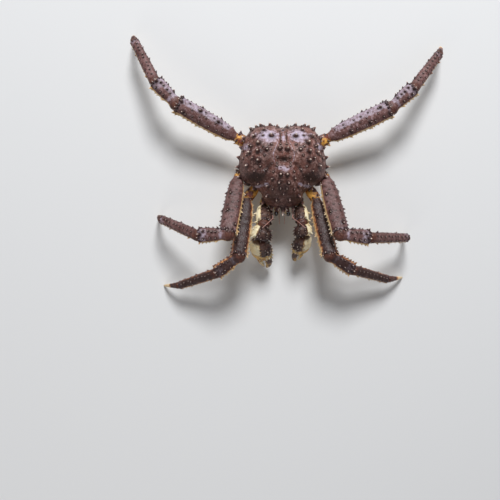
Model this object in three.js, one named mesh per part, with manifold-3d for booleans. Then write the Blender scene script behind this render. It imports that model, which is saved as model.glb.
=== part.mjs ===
/* A red king crab at life size, standing on level ground with its claws held out in front.
   +X is the crab's own left, -Y the way it faces and +Z up. Lengths are in millimetres and angles
   in degrees. The ground is at z = 0, and the finished group is centred over the origin. */

import * as THREE from "three";
import { mergeVertices } from "three/addons/utils/BufferGeometryUtils.js";
import Module from "manifold-3d";

const wasm = await Module();
wasm.setup();
const { Manifold, Mesh: SolidMesh } = wasm;

// Driving dimensions of the body
const RIM_HEIGHT = 78; // the carapace's rim above the ground
const DOME_RISE = 50; // the carapace above its rim
const RIM_DEPTH = 9; // the carapace below its rim
const BELLY_HEIGHT = 43; // the underside of the chest above the ground
const GAP = 0.4; // between neighbouring plates
const SOCKET_PLAY = 0.35; // room round a piece that is set into another

// Driving dimensions of the limbs: lengths along each segment, and half sizes across it
const LEG_LENGTHS = { hip: 50, merus: 134, carpus: 61, propodus: 102, dactyl: 62 };
const LEG_HALVES = {
  hip: [12, 11],
  merus: [19.5, 13],
  carpus: [15, 11.5],
  propodus: [11, 9],
  dactyl: [6.5, 6],
};
const CLAW_LENGTHS = { hip: 34, merus: 56, carpus: 38, palm: 54, finger: 42 };
const CLAW_HALVES = { hip: [10, 9], merus: [16, 14], carpus: [20, 16], palm: [18, 24], finger: [7.5, 8.5] };
const LEFT_CLAW_SCALE = 0.88; // the right claw is the crusher, and the larger
const TIP_SINK = 2.2; // how far a toe would reach below ground before its tip is cut flat
const TOE_BOW = 8; // how far the middle of a toe bows outward
const OVERRUN = 5; // how far a segment runs past its joints before it is cut there

// A spine is a cone rooted a little below the surface. Its foot grows with its height.
const SPINE = { sides: 3, root: 2, foot: 0.9, slimness: 0.36, lean: 0.45 };

const LEFT = 1;
const RIGHT = -1;
const UP = new THREE.Vector3(0, 0, 1);
const radians = THREE.MathUtils.degToRad;
const vec = (x, y, z) => new THREE.Vector3(x, y, z);

/* The stance. base is where a limb leaves the chest, with x for the left side. yaw turns each
   segment forward from straight out sideways, and rise lifts it above level. */
const STANCE = {
  leg1: {
    base: [43, -24, 59],
    scale: 0.95,
    left: { yaw: [53, 80, 30, 14, 0], rise: [3, 19, -14, -34] },
    right: { yaw: [54, 82, 36, 20, 4], rise: [3, 19, -12, -34] },
  },
  leg2: {
    base: [48, 8, 59],
    scale: 1,
    left: { yaw: [34, 80, 6, 0, -28], rise: [8, 26, -6, -36] },
    right: { yaw: [33, 81, 2, -22, -38], rise: [8, 26, -8, -36] },
  },
  leg3: {
    base: [48, 40, 59],
    scale: 1.03,
    left: { yaw: [-25, -24, -42, -52, -60], rise: [4, 9, -1, -19] },
    right: { yaw: [-26, -28, -46, -62, -70], rise: [4, 10, -1, -19] },
  },
  claw: {
    base: [23, -45, 53],
    left: { yaw: [62, 90, 92, 96], rise: [2, 40, 6, -60] },
    right: { yaw: [62, 89, 92, 98], rise: [2, 42, 4, -60] },
  },
};
const CLAW_ROLL = 48; // the palm leans inward, so that the moving finger is up and to the middle

/* The carapace's outline from above, from the middle of the rear edge round the left side to the
   middle of the front, measured from the carapace's centre. */
const OUTLINE = [
  [0, 79], [28, 83], [54, 79], [71, 66], [81, 42], [88, 10], [86, -12], [78, -30],
  [58, -41], [43, -54], [38, -69], [22, -80], [0, -84],
];
const FRONT_EDGE = OUTLINE.at(-1)[1];

/* The swellings and hollows of the carapace: height, middle and reach of each. A paired one is on
   both sides. The channel runs to the rear edge, and the pit lies between stomach and heart. */
const RELIEF = {
  gill: { height: 7, x: 47, y: 28, reach: [26, 34], paired: true },
  stomach: { height: 9, x: 0, y: -32, reach: [27, 24] },
  heart: { height: 4, x: 0, y: 24, reach: [13, 12] },
  pit: { height: -6, x: 0, y: 5, reach: [17, 6] },
  channel: { height: -4, x: 0, y: 55, reach: [9, 16] },
  neck: { height: -5, x: 34, y: -6, reach: [12, 10], paired: true },
  shoulder: { height: -4, x: 48, y: -32, reach: [10, 10], paired: true },
};
const DOME_CURVE = { edge: 2.3, fullness: 0.62 }; // powers that keep the top flat and the sides steep

// Spines on the left half of the carapace: x, y and height. Those off the middle have a twin.
const CARAPACE_SPINES = [
  [25, 55, 10], [48, 41, 9], [57, 56, 7], [32, 27, 7], [49, 25, 8], [66, 24, 8], [49, 8, 9],
  [66, 38, 7], [71, -2, 7], [34, -11, 6], [38, 69, 6], [8, 27, 7], [6, -23, 7], [9, -38, 6],
  [21, -29, 6], [30, -42, 7], [31, -60, 6], [12, -68, 6],
];
const RIM_SPINES = { count: 9, from: 62, to: -37, height: 8, lift: 0.25 }; // along each side, as angles
const REAR_SPINES = { xs: [10, 25, 52], y: 80, height: 8, lift: 0.6 };

/* The beak and the spines beside it: x for the left, how far behind the front edge and above the
   rim each stands, its heading and its height. */
const FRONT_SPINES = [
  { x: 0, back: 4, up: 3, heading: [0, -1, 0.12], height: 15, slimness: 0.3 },
  { x: 6, back: 5, up: 7, heading: [0.25, -1, 0.7], height: 9 },
  { x: 21, back: 5, up: 1, heading: [0.2, -1, 0.15], height: 9 },
  { x: 36, back: 16, up: 1, heading: [0.6, -1, 0.15], height: 9 },
];

// Colours of the finished plates
const COLOURS = {
  shell: { color: 0x5a3436, roughness: 0.42 },
  underside: { color: 0xc9a878, roughness: 0.5 },
  claw_tip: { color: 0xd8c48c, roughness: 0.35 },
  eye: { color: 0x0d0a0a, roughness: 0.12 },
  feeler: { color: 0xb77a6a, roughness: 0.5 },
};
const group = new THREE.Group();

function addPart(name, solid, colours) {
  const { numProp, vertProperties, triVerts } = solid.getMesh();
  const places = new Float32Array((vertProperties.length / numProp) * 3);
  for (let i = 0; i < places.length / 3; i++) {
    places.set(vertProperties.subarray(i * numProp, i * numProp + 3), i * 3);
  }
  const geometry = new THREE.BufferGeometry();
  geometry.setAttribute("position", new THREE.BufferAttribute(places, 3));
  geometry.setIndex(new THREE.BufferAttribute(triVerts, 1));
  const mesh = new THREE.Mesh(geometry, new THREE.MeshStandardMaterial({ metalness: 0, ...colours }));
  mesh.name = name;
  group.add(mesh);
}

// A closed solid from a three.js geometry whose vertices are moved by place(vertex).
function shaped(geometry, place) {
  geometry.deleteAttribute("normal");
  geometry.deleteAttribute("uv");
  const merged = mergeVertices(geometry, 1e-4);
  const position = merged.attributes.position;
  const vertex = new THREE.Vector3();
  for (let i = 0; i < position.count; i++) {
    vertex.fromBufferAttribute(position, i);
    place(vertex);
    position.setXYZ(i, vertex.x, vertex.y, vertex.z);
  }
  const triVerts = Uint32Array.from(merged.index.array);
  return new Manifold(new SolidMesh({ numProp: 3, vertProperties: position.array, triVerts }));
}

// Drops the loose crumbs that a cut may leave.
function biggest(solid) {
  return solid.decompose().sort((a, b) => b.volume() - a.volume())[0];
}

// Reads a value at t from a list of [t, value] pairs, straight between them.
function profileAt(profile, t) {
  const next = Math.max(1, profile.findIndex(([end]) => t <= end));
  const [t0, v0] = profile[next - 1];
  const [t1, v1] = profile[next];
  return THREE.MathUtils.lerp(v0, v1, THREE.MathUtils.clamp((t - t0) / (t1 - t0), 0, 1));
}

function direction(side, yaw, rise) {
  const flat = Math.cos(radians(rise));
  return vec(side * flat * Math.cos(radians(yaw)), -flat * Math.sin(radians(yaw)), Math.sin(radians(rise)));
}

// The sideways and upward directions of a limb that runs along tangent.
function across(tangent, up) {
  const lift = up.clone().addScaledVector(tangent, -up.dot(tangent)).normalize();
  return { lift, side: lift.clone().cross(tangent) };
}

// A cone that stands on point.
function spine(point, heading, height, slimness = SPINE.slimness) {
  const length = height + SPINE.root;
  const along = heading.clone().normalize();
  const turn = new THREE.Quaternion().setFromUnitVectors(vec(0, 1, 0), along);
  const centre = point.clone().addScaledVector(along, length / 2 - SPINE.root);
  const cone = new THREE.ConeGeometry(height * slimness + SPINE.foot, length, SPINE.sides);
  return shaped(cone, (p) => p.applyQuaternion(turn).add(centre));
}

/* A limb is a tube of oval section along a curve. half is [half width, half height] at its
   thickest, and profile gives the share of that at each t along the curve. */
class Limb {
  constructor({ path, half, profile, up = UP, sides = 8, steps = 6 }) {
    Object.assign(this, { path, half, profile, up, sides, steps });
  }

  // The surface point at t and angle, with angle 90 on the back and 0 on the +side edge.
  at(t, angle, grow = 0) {
    const tangent = this.path.getTangent(t);
    const { lift, side } = across(tangent, this.up);
    const share = profileAt(this.profile, t);
    const wide = this.half[0] * share + grow;
    const high = this.half[1] * share + grow;
    const [c, s] = [Math.cos(radians(angle)), Math.sin(radians(angle))];
    const point = this.path.getPoint(t).addScaledVector(side, wide * c).addScaledVector(lift, high * s);
    const normal = side.multiplyScalar(c / wide).addScaledVector(lift, s / high).normalize();
    return { point, normal, tangent };
  }

  solid(grow = 0) {
    return shaped(new THREE.CylinderGeometry(1, 1, 1, this.sides, this.steps), (p) => {
      const t = p.y + 0.5;
      const radius = Math.hypot(p.x, p.z);
      const angle = THREE.MathUtils.radToDeg(Math.atan2(p.x, p.z));
      const centre = this.path.getPoint(t);
      p.copy(centre).lerp(this.at(t, angle, grow).point, radius);
    });
  }

  // Spines in a row at one angle. Each leans towards the far end.
  spines({ angle, from, to = from, count = 1, height }) {
    return Array.from({ length: count }, (_, i) => {
      const t = THREE.MathUtils.lerp(from, to, i / Math.max(1, count - 1));
      const { point, normal, tangent } = this.at(t, angle);
      return spine(point, normal.addScaledVector(tangent, SPINE.lean), height);
    });
  }

  // The limb with its rows of spines.
  spined(rows, scale) {
    const spines = rows.flatMap((row) => this.spines({ ...row, height: row.height * scale }));
    return Manifold.union([this.solid(), ...spines]);
  }

  // Room for the limb's root in the chest and under the carapace.
  socket() {
    const share = Math.max(...this.profile.map(([, value]) => value));
    return new Limb({ ...this, profile: [[0, share], [1, share]], steps: 1 }).solid(SOCKET_PLAY);
  }
}

// Keeps the part of solid that lies ahead of the plane through point.
const keepAhead = (solid, normal, point) => solid.trimByPlane(normal.toArray(), normal.dot(point) + GAP / 2);

function straight(start, end, overrun) {
  const along = end.clone().sub(start).normalize();
  return new THREE.LineCurve3(
    start.clone().addScaledVector(along, -overrun),
    end.clone().addScaledVector(along, overrun),
  );
}

// Cuts both ends of a limb's segment on the planes that halve its two joints.
function jointed(solid, { points, headings }, i) {
  const before = headings[i].clone().add(headings[i - 1] ?? headings[i]).normalize();
  const after = headings[i].clone().add(headings[i + 1] ?? headings[i]).normalize();
  const cut = i ? keepAhead(solid, before, points[i]) : solid;
  return i + 1 < headings.length ? keepAhead(cut, after.negate(), points[i + 1]) : cut;
}

// The joints of a limb, from its base and the heading and length of each segment.
function chainOf(base, headings, lengths) {
  const points = [base];
  headings.forEach((heading, i) => points.push(points[i].clone().addScaledVector(heading, lengths[i])));
  return { points, headings };
}

const LEG_PROFILES = {
  hip: [[0, 1.1], [0.3, 1.2], [0.5, 0.8], [0.65, 0.96], [1, 0.84]],
  merus: [[0, 0.58], [0.12, 0.8], [0.35, 0.98], [0.6, 1], [0.85, 0.97], [1, 0.84]],
  carpus: [[0, 0.56], [0.2, 0.72], [0.55, 0.95], [0.85, 1], [1, 0.82]],
  propodus: [[0, 0.8], [0.15, 0.98], [0.35, 1], [0.75, 0.84], [1, 0.66]],
  dactyl: [[0, 1], [0.2, 0.92], [0.6, 0.66], [0.9, 0.36], [1, 0.28]],
};
const LEG_FACETS = {
  hip: { sides: 6, steps: 4 },
  merus: { sides: 8, steps: 6 },
  carpus: { sides: 8, steps: 4 },
  propodus: { sides: 8, steps: 3 },
  dactyl: { sides: 6, steps: 5 },
};
const LEG_SPINES = {
  hip: [{ angle: 170, from: 0.84, height: 7 }],
  merus: [
    { angle: 8, from: 0.3, to: 0.9, count: 3, height: 5 },
    { angle: 172, from: 0.34, to: 0.92, count: 3, height: 5 },
    { angle: 60, from: 0.84, height: 6 },
    { angle: 115, from: 0.36, to: 0.92, count: 3, height: 6 },
  ],
  carpus: [
    { angle: 15, from: 0.4, to: 0.86, count: 2, height: 5 },
    { angle: 165, from: 0.36, to: 0.86, count: 2, height: 5 },
    { angle: 95, from: 0.86, height: 7 },
  ],
  propodus: [
    { angle: 20, from: 0.2, to: 0.7, count: 2, height: 3.5 },
    { angle: 160, from: 0.2, to: 0.8, count: 3, height: 3.5 },
  ],
  dactyl: [],
};

// A walking leg. Its last segment is turned so that its tip reaches the ground.
function walkingLeg(name, side, { base, scale, yaw, rise }) {
  const parts = Object.keys(LEG_LENGTHS);
  const lengths = parts.map((part) => LEG_LENGTHS[part] * scale);
  const headings = rise.map((lift, i) => direction(side, yaw[i], lift));
  const root = vec(side * base[0], base[1], base[2]);
  const ankle = chainOf(root, headings, lengths).points.at(-1);
  const toeRise = -THREE.MathUtils.radToDeg(Math.asin((ankle.z + TIP_SINK) / lengths.at(-1)));
  headings.push(direction(side, yaw.at(-1), toeRise));
  const chain = chainOf(root, headings, lengths);
  const limbs = parts.map((part, i) => new Limb({
    path: part === "dactyl" ? toeCurve(chain) : straight(chain.points[i], chain.points[i + 1], OVERRUN),
    half: LEG_HALVES[part].map((x) => x * scale),
    profile: LEG_PROFILES[part],
    ...LEG_FACETS[part],
  }));
  parts.forEach((part, i) => {
    const cut = jointed(limbs[i].spined(LEG_SPINES[part], scale), chain, i);
    addPart(`${name}_${part}`, part === "dactyl" ? cut.trimByPlane(UP.toArray(), 0) : cut, COLOURS.shell);
  });
  return limbs[0].socket();
}

function toeCurve({ points, headings }) {
  const [start, end] = points.slice(-2);
  const heading = headings.at(-1);
  const lead = start.clone().addScaledVector(heading, -OVERRUN);
  const bow = start.clone().lerp(end, 0.5).addScaledVector(across(heading, UP).lift, TOE_BOW);
  return new THREE.QuadraticBezierCurve3(lead, bow, end);
}

const CLAW_PROFILES = {
  hip: [[0, 0.9], [0.3, 1], [0.5, 0.84], [0.62, 0.98], [1, 0.86]],
  merus: [[0, 0.62], [0.25, 0.86], [0.7, 1], [1, 0.88]],
  carpus: [[0, 0.62], [0.35, 0.92], [0.75, 1], [1, 0.8]],
  palm: [[0, 0.62], [0.25, 0.9], [0.6, 1], [0.85, 0.94], [1, 0.72]],
  finger: [[0, 0.98], [0.35, 0.86], [0.75, 0.56], [1, 0.26]],
};
const CLAW_FACETS = {
  hip: { sides: 6, steps: 4 },
  merus: { sides: 8, steps: 4 },
  carpus: { sides: 8, steps: 4 },
  palm: { sides: 8, steps: 5 },
  finger: { sides: 6, steps: 5 },
};

// Spines of the claws' segments. inner and palmEdge are the angles that face the other claw.
const clawSpines = (inner, palmEdge) => ({
  hip: [],
  merus: [
    { angle: 60, from: 0.4, to: 0.85, count: 2, height: 6 },
    { angle: 120, from: 0.4, to: 0.85, count: 2, height: 6 },
    { angle: inner, from: 0.5, to: 0.88, count: 2, height: 6 },
  ],
  carpus: [
    { angle: 60, from: 0.35, to: 0.85, count: 2, height: 6 },
    { angle: 110, from: 0.3, to: 0.85, count: 2, height: 6 },
    { angle: inner, from: 0.3, to: 0.88, count: 3, height: 7 },
  ],
  palm: [
    { angle: 65, from: 0.3, to: 0.75, count: 3, height: 5.5 },
    { angle: 115, from: 0.35, to: 0.75, count: 2, height: 5 },
    { angle: palmEdge, from: 0.35, to: 0.85, count: 3, height: 4.5 },
  ],
});

/* The fingers' curves: how far beyond the wrist each is rooted, and its height in the palm at the
   root, the bow and the tip. */
const FINGERS = {
  fixed: { root: 42, heights: [-10, -15, -2.4] },
  moving: { root: 49, heights: [10, 19, 3] },
};

function claw(name, side, { base, yaw, rise }, scale) {
  const arm = ["hip", "merus", "carpus"];
  const lengths = [...arm, "palm"].map((part, i) => CLAW_LENGTHS[part] * (i ? scale : 1));
  const headings = rise.map((lift, i) => direction(side, yaw[i], lift));
  const chain = chainOf(vec(side * base[0], base[1], base[2]), headings, lengths);
  const spines = side === LEFT ? clawSpines(10, 0) : clawSpines(170, 180);
  const limbOf = (part, path, up = UP) => new Limb({
    path,
    up,
    half: CLAW_HALVES[part].map((x) => x * scale),
    profile: CLAW_PROFILES[part],
    ...CLAW_FACETS[part],
  });
  const limbs = arm.map((part, i) => limbOf(part, straight(chain.points[i], chain.points[i + 1], OVERRUN)));
  arm.forEach((part, i) => {
    addPart(`${name}_${part}`, jointed(limbs[i].spined(spines[part], scale), chain, i), COLOURS.shell);
  });

  const [wrist, knuckle] = chain.points.slice(-2);
  const heading = headings.at(-1);
  const upright = across(heading, UP);
  const roll = radians(CLAW_ROLL) * side;
  const lift = upright.lift.clone().multiplyScalar(Math.cos(roll))
    .addScaledVector(upright.side, -Math.sin(roll));
  const inPalm = (along, high) => wrist.clone()
    .addScaledVector(heading, along * scale).addScaledVector(lift, high * scale);
  const fingerOf = ({ root, heights }) => {
    const reach = CLAW_LENGTHS.palm + CLAW_LENGTHS.finger;
    const alongs = [root, CLAW_LENGTHS.palm + CLAW_LENGTHS.finger / 2, reach];
    const points = alongs.map((along, i) => inPalm(along, heights[i]));
    return limbOf("finger", new THREE.QuadraticBezierCurve3(...points), lift);
  };
  const palm = limbOf("palm", straight(wrist, knuckle, OVERRUN - 1), lift);
  const moving = fingerOf(FINGERS.moving);
  const hand = palm.spined(spines.palm, scale).add(fingerOf(FINGERS.fixed).solid())
    .subtract(moving.solid(SOCKET_PLAY));
  const wristPlane = heading.clone().add(headings.at(-2)).normalize();
  addPart(`${name}_palm`, biggest(keepAhead(hand, wristPlane, wrist)), COLOURS.underside);
  addPart(`${name}_finger`, moving.solid(), COLOURS.claw_tip);
  return limbs[0].socket();
}

// The outline's radius at an angle, from a table read off the curve through its points.
const outlineTable = (() => {
  const mirrored = OUTLINE.slice(1, -1).reverse().map(([x, y]) => [-x, y]);
  const points = [...OUTLINE, ...mirrored].map(([x, y]) => vec(x, y, 0));
  const curve = new THREE.CatmullRomCurve3(points, true, "centripetal");
  return curve.getPoints(360)
    .map((p) => ({ angle: Math.atan2(p.y, p.x), radius: Math.hypot(p.x, p.y) }))
    .sort((a, b) => a.angle - b.angle);
})();

function outlineRadius(angle) {
  const next = outlineTable.findIndex((entry) => entry.angle >= angle);
  if (next <= 0) return outlineTable[0].radius;
  const [a, b] = [outlineTable[next - 1], outlineTable[next]];
  const share = (angle - a.angle) / Math.max(b.angle - a.angle, 1e-6);
  return THREE.MathUtils.lerp(a.radius, b.radius, share);
}

function relief(x, y) {
  return Object.values(RELIEF).reduce((total, lobe) => {
    const [rx, ry] = lobe.reach;
    const dx = (lobe.paired ? Math.abs(x) : x) - lobe.x;
    return total + lobe.height * Math.exp(-((dx / rx) ** 2) - ((y - lobe.y) / ry) ** 2);
  }, 0);
}

function domeHeight(x, y) {
  const share = Math.min(1, Math.hypot(x, y) / outlineRadius(Math.atan2(y, x)));
  const rise = (1 - share ** DOME_CURVE.edge) ** DOME_CURVE.fullness;
  return RIM_HEIGHT + (DOME_RISE + relief(x, y)) * rise;
}

const SHELL_FACETS = { around: 32, down: 11 };
const RING_POWERS = { above: 1.25, below: 0.8 }; // gather the rings of facets where the shell bends
const TUCK = 1.35; // how soon the under edge reaches its full depth

function carapaceShell() {
  const { around, down } = SHELL_FACETS;
  const ball = new THREE.SphereGeometry(1, around, down).rotateX(Math.PI / 2);
  return shaped(ball, (p) => {
    const angle = Math.atan2(p.y, p.x);
    const ring = Math.min(1, Math.hypot(p.x, p.y));
    const radius = outlineRadius(angle) * ring ** (p.z >= 0 ? RING_POWERS.above : RING_POWERS.below);
    const [x, y] = [Math.cos(angle) * radius, Math.sin(angle) * radius];
    const tuck = Math.min(1, TUCK * Math.abs(p.z) ** RING_POWERS.below);
    p.set(x, y, p.z >= 0 ? domeHeight(x, y) : RIM_HEIGHT - RIM_DEPTH * tuck);
  });
}

function carapaceSpine(x, y, height) {
  const reach = 2;
  const stoop = 0.8; // how far a spine follows the slope under it
  const slopeX = (domeHeight(x + reach, y) - domeHeight(x - reach, y)) / (2 * reach);
  const slopeY = (domeHeight(x, y + reach) - domeHeight(x, y - reach)) / (2 * reach);
  return spine(vec(x, y, domeHeight(x, y)), vec(-slopeX * stoop, -slopeY * stoop, 1), height);
}

function rimSpine(angle, height, lift) {
  const inset = 0.5;
  const above = 1.5;
  const out = vec(Math.cos(angle), Math.sin(angle), 0);
  const foot = out.clone().multiplyScalar(outlineRadius(angle) - inset).setZ(RIM_HEIGHT + above);
  return spine(foot, out.setZ(lift), height);
}

function frontSpine(side, { x, back, up, heading: [outward, ahead, lift], height, slimness }) {
  const foot = vec(side * x, FRONT_EDGE + back, RIM_HEIGHT + up);
  return spine(foot, vec(side * outward, ahead, lift), height, slimness);
}

const sidesOf = (x) => (x ? [LEFT, RIGHT] : [LEFT]);

function carapace(cutters) {
  const { count, from, to, height, lift } = RIM_SPINES;
  const { lerp } = THREE.MathUtils;
  const rim = Array.from({ length: count }, (_, i) => radians(lerp(from, to, i / (count - 1))));
  const twin = (angle) => (angle > 0 ? Math.PI : -Math.PI) - angle;
  const rear = REAR_SPINES.xs.flatMap((x) => sidesOf(x).map((side) => Math.atan2(REAR_SPINES.y, side * x)));
  const solids = [
    carapaceShell(),
    ...FRONT_SPINES.flatMap((row) => sidesOf(row.x).map((side) => frontSpine(side, row))),
    ...CARAPACE_SPINES.flatMap(([x, y, tall]) => sidesOf(x).map((side) => carapaceSpine(side * x, y, tall))),
    ...rim.flatMap((angle) => [angle, twin(angle)].map((at) => rimSpine(at, height, lift))),
    ...rear.map((angle) => rimSpine(angle, REAR_SPINES.height, REAR_SPINES.lift)),
  ];
  const whole = Manifold.union(solids).subtract(Manifold.union(cutters));
  addPart("carapace", biggest(whole), COLOURS.shell);
}

/* The chest under the carapace, which carries the limbs in sockets. Its ends and half width, and
   its depth in front as a share of its depth behind. */
const CHEST = { rear: 66, front: -76, half: 52, steps: 7, shallow: 0.55, shallowFrom: -30, squareness: 1.6 };
const CHEST_PROFILE = [[0, 0.5], [0.2, 0.84], [0.45, 1], [0.7, 0.8], [0.9, 0.48], [1, 0.34]];

function thorax(cutters) {
  const top = RIM_HEIGHT - RIM_DEPTH - GAP;
  const middle = (top + BELLY_HEIGHT) / 2;
  const trunk = new Limb({
    path: new THREE.LineCurve3(vec(0, CHEST.rear, 0), vec(0, CHEST.front, 0)),
    half: [CHEST.half, 1],
    profile: CHEST_PROFILE,
    steps: CHEST.steps,
  });
  const deep = trunk.solid().warp((p) => {
    const ahead = THREE.MathUtils.smoothstep(-p[1], -CHEST.shallowFrom, -CHEST.front);
    const keel = p[2] < 0 ? THREE.MathUtils.lerp(1, CHEST.shallow, ahead) : 1;
    const share = Math.min(1, Math.abs(p[2]) * CHEST.squareness);
    p[2] = middle + Math.sign(p[2]) * share * (top - middle) * keel;
  });
  addPart("thorax", biggest(deep.subtract(Manifold.union(cutters))), COLOURS.underside);
}

/* The abdomen leaves the rear edge, turns under and lies flat against the chest. Its plates are
   cut from one strip along this line, given as y, z and half width. */
const ABDOMEN_LINE = [
  [62, 76, 40], [75, 68, 44], [77, 50, 45], [66, 38, 44],
  [35, 35, 38], [0, 35, 29], [-30, 38, 16], [-44, 41, 7],
];
const ABDOMEN_CUTS = [0.47, 0.66, 0.86]; // where the plates meet, as shares of the line
const ABDOMEN_HALF_DEPTH = 6;
const ABDOMEN_NAMES = ["abdomen_1", "abdomen_2", "abdomen_3", "telson"];

// The strip is square to its line in the crab's middle plane, and thins towards its narrow tip.
class Strip extends Limb {
  at(t, angle, grow = 0) {
    const tangent = this.path.getTangent(t);
    const outward = vec(0, tangent.z, -tangent.y);
    const side = outward.clone().cross(tangent);
    const share = profileAt(this.profile, t);
    const [c, s] = [Math.cos(radians(angle)), Math.sin(radians(angle))];
    const wide = this.half[0] * share + grow;
    const high = this.half[1] * Math.min(1, share * 2.2) + grow;
    const point = this.path.getPoint(t).addScaledVector(side, wide * c).addScaledVector(outward, high * s);
    return { point, normal: outward, tangent };
  }
}

function abdomen() {
  const path = new THREE.CatmullRomCurve3(ABDOMEN_LINE.map(([y, z]) => vec(0, y, z)), false, "centripetal");
  const last = ABDOMEN_LINE.length - 1;
  const widest = Math.max(...ABDOMEN_LINE.map(([, , half]) => half));
  const profile = ABDOMEN_LINE.map(([, , half], i) => [i / last, half / widest]);
  const strip = new Strip({ path, half: [widest, ABDOMEN_HALF_DEPTH], profile, steps: 14 });
  ABDOMEN_NAMES.forEach((name, i) => {
    const [start, end] = [ABDOMEN_CUTS[i - 1], ABDOMEN_CUTS[i]];
    let plate = strip.solid();
    if (start) plate = keepAhead(plate, path.getTangent(start), path.getPoint(start));
    if (end) plate = keepAhead(plate, path.getTangent(end).negate(), path.getPoint(end));
    addPart(name, biggest(plate), COLOURS.underside);
  });
  return strip.solid(SOCKET_PLAY);
}

// The left eye: the ends of its stalk, half sizes across the stalk and of the ball
const EYE = { root: [9, -74, 71], tip: [12, -92, 74], stalk: [3.6, 3.4], ball: [4.4, 5.2, 4.2], beyond: 2.5 };

function eye(name, side) {
  const [root, tip] = [EYE.root, EYE.tip].map(([x, y, z]) => vec(side * x, y, z));
  const middle = tip.clone().addScaledVector(tip.clone().sub(root).normalize(), EYE.beyond);
  const stalk = new Limb({
    path: new THREE.LineCurve3(root, tip),
    half: EYE.stalk,
    profile: [[0, 0.9], [1, 1]],
    sides: 6,
    steps: 2,
  });
  const ball = (grow) => shaped(new THREE.SphereGeometry(1, 8, 6), (p) => {
    p.multiply(vec(...EYE.ball).addScalar(grow)).add(middle);
  });
  addPart(`eye_${name}`, ball(0), COLOURS.eye);
  addPart(`eyestalk_${name}`, biggest(stalk.solid().subtract(ball(SOCKET_PLAY))), COLOURS.shell);
  return [stalk.solid(SOCKET_PLAY), ball(SOCKET_PLAY)];
}

/* Feelers and mouth limbs: x, y and z along each for the left side, the half thickness of the
   stalk, and the shares of that where the lash starts and at the tip. */
const FEELERS = {
  antenna: {
    line: [[21, -66, 65], [22, -93, 69], [20, -104, 96], [28, -113, 121], [42, -126, 134]],
    half: 3.4,
    lash: 0.4,
    tip: 0.18,
    steps: 9,
  },
  antennule: {
    line: [[6, -74, 63], [6, -92, 64], [5.5, -104, 60], [5, -115, 60]],
    half: 2.2,
    lash: 0.4,
    tip: 0.3,
    steps: 6,
  },
  maxilliped: {
    line: [[9, -62, 52], [11, -78, 52], [10, -88, 44], [6, -88, 32]],
    half: 6,
    lash: 0.85,
    tip: 0.35,
    steps: 6,
  },
};
const LASH_START = 0.06; // how far past the stalk a feeler has thinned to its lash

function feeler(kind, name, side) {
  const { line, half, lash, tip, steps } = FEELERS[kind];
  const path = new THREE.CatmullRomCurve3(line.map(([x, y, z]) => vec(side * x, y, z)), false, "centripetal");
  const root = 1 / (line.length - 1);
  const profile = [[0, 1], [root, 0.92], [root + LASH_START, lash], [1, tip]];
  const limb = new Limb({ path, half: [half, half], profile, up: vec(0.3, 0.4, 1), sides: 5, steps });
  addPart(`${kind}_${name}`, limb.solid(), COLOURS.feeler);
  return limb.solid(SOCKET_PLAY);
}

const sockets = [];
for (const [name, side] of [["left", LEFT], ["right", RIGHT]]) {
  for (const leg of ["leg1", "leg2", "leg3"]) {
    sockets.push(walkingLeg(`${leg}_${name}`, side, { ...STANCE[leg], ...STANCE[leg][name] }));
  }
  const clawStance = { ...STANCE.claw, ...STANCE.claw[name] };
  sockets.push(claw(`claw_${name}`, side, clawStance, side === LEFT ? LEFT_CLAW_SCALE : 1));
  sockets.push(...eye(name, side));
  Object.keys(FEELERS).forEach((kind) => sockets.push(feeler(kind, name, side)));
}
sockets.push(abdomen());
carapace(sockets);
thorax(sockets);

const box = new THREE.Box3().setFromObject(group);
group.position.set(-(box.min.x + box.max.x) / 2, -(box.min.y + box.max.y) / 2, 0);

export default group;
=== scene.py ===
"""A red king crab in its shell: plum brown above, cream and orange below, spiny and wet.

Lengths are in metres unless a name or a comment says millimetres. The crab faces -Y, its own left
is +X and up is +Z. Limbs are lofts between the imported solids' own joints, and every spine of the
solids gets its finished spine, with rows of smaller ones between."""
import math
from collections import namedtuple

import bpy
import numpy as np
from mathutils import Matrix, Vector
from mathutils.bvhtree import BVHTree


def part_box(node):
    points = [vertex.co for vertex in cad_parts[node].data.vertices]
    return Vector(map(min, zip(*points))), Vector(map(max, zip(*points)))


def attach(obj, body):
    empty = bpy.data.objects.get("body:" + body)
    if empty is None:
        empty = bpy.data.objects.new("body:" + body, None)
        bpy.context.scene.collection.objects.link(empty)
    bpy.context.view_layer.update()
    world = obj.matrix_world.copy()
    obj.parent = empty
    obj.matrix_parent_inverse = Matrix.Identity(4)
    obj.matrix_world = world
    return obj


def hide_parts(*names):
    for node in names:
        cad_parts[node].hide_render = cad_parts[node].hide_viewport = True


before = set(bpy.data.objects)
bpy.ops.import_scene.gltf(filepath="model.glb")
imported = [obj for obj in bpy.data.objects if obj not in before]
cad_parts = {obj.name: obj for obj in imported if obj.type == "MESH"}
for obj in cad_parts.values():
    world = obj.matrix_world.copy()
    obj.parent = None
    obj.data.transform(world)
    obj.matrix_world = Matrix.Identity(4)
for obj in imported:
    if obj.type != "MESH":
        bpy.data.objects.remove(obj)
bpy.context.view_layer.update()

rng = np.random.default_rng(11)
MM = 0.001

# The photograph's frame and how the crab lies in it
IMAGE_PX = 500
CARAPACE_PX = (282.4, 167.0)  # the middle of the carapace
METRES_PER_PX = 0.00203  # at the carapace's rim
CAMERA_RISE = 1.17  # above the rim
SENSOR_MM = 36.0


def smoothstep(low, high, x):
    t = np.clip((np.asarray(x, float) - low) / (high - low), 0, 1)
    return t * t * (3 - 2 * t)


def unit(v):
    v = np.asarray(v, float)
    return v / np.maximum(np.linalg.norm(v, axis=-1, keepdims=True), 1e-12)


def upright_to(heading):
    """The direction across a heading that is nearest to straight up."""
    return unit(np.array([0, 0, 1]) - heading * heading[2])


# The frame's solids: their corners, spines and joints

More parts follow.
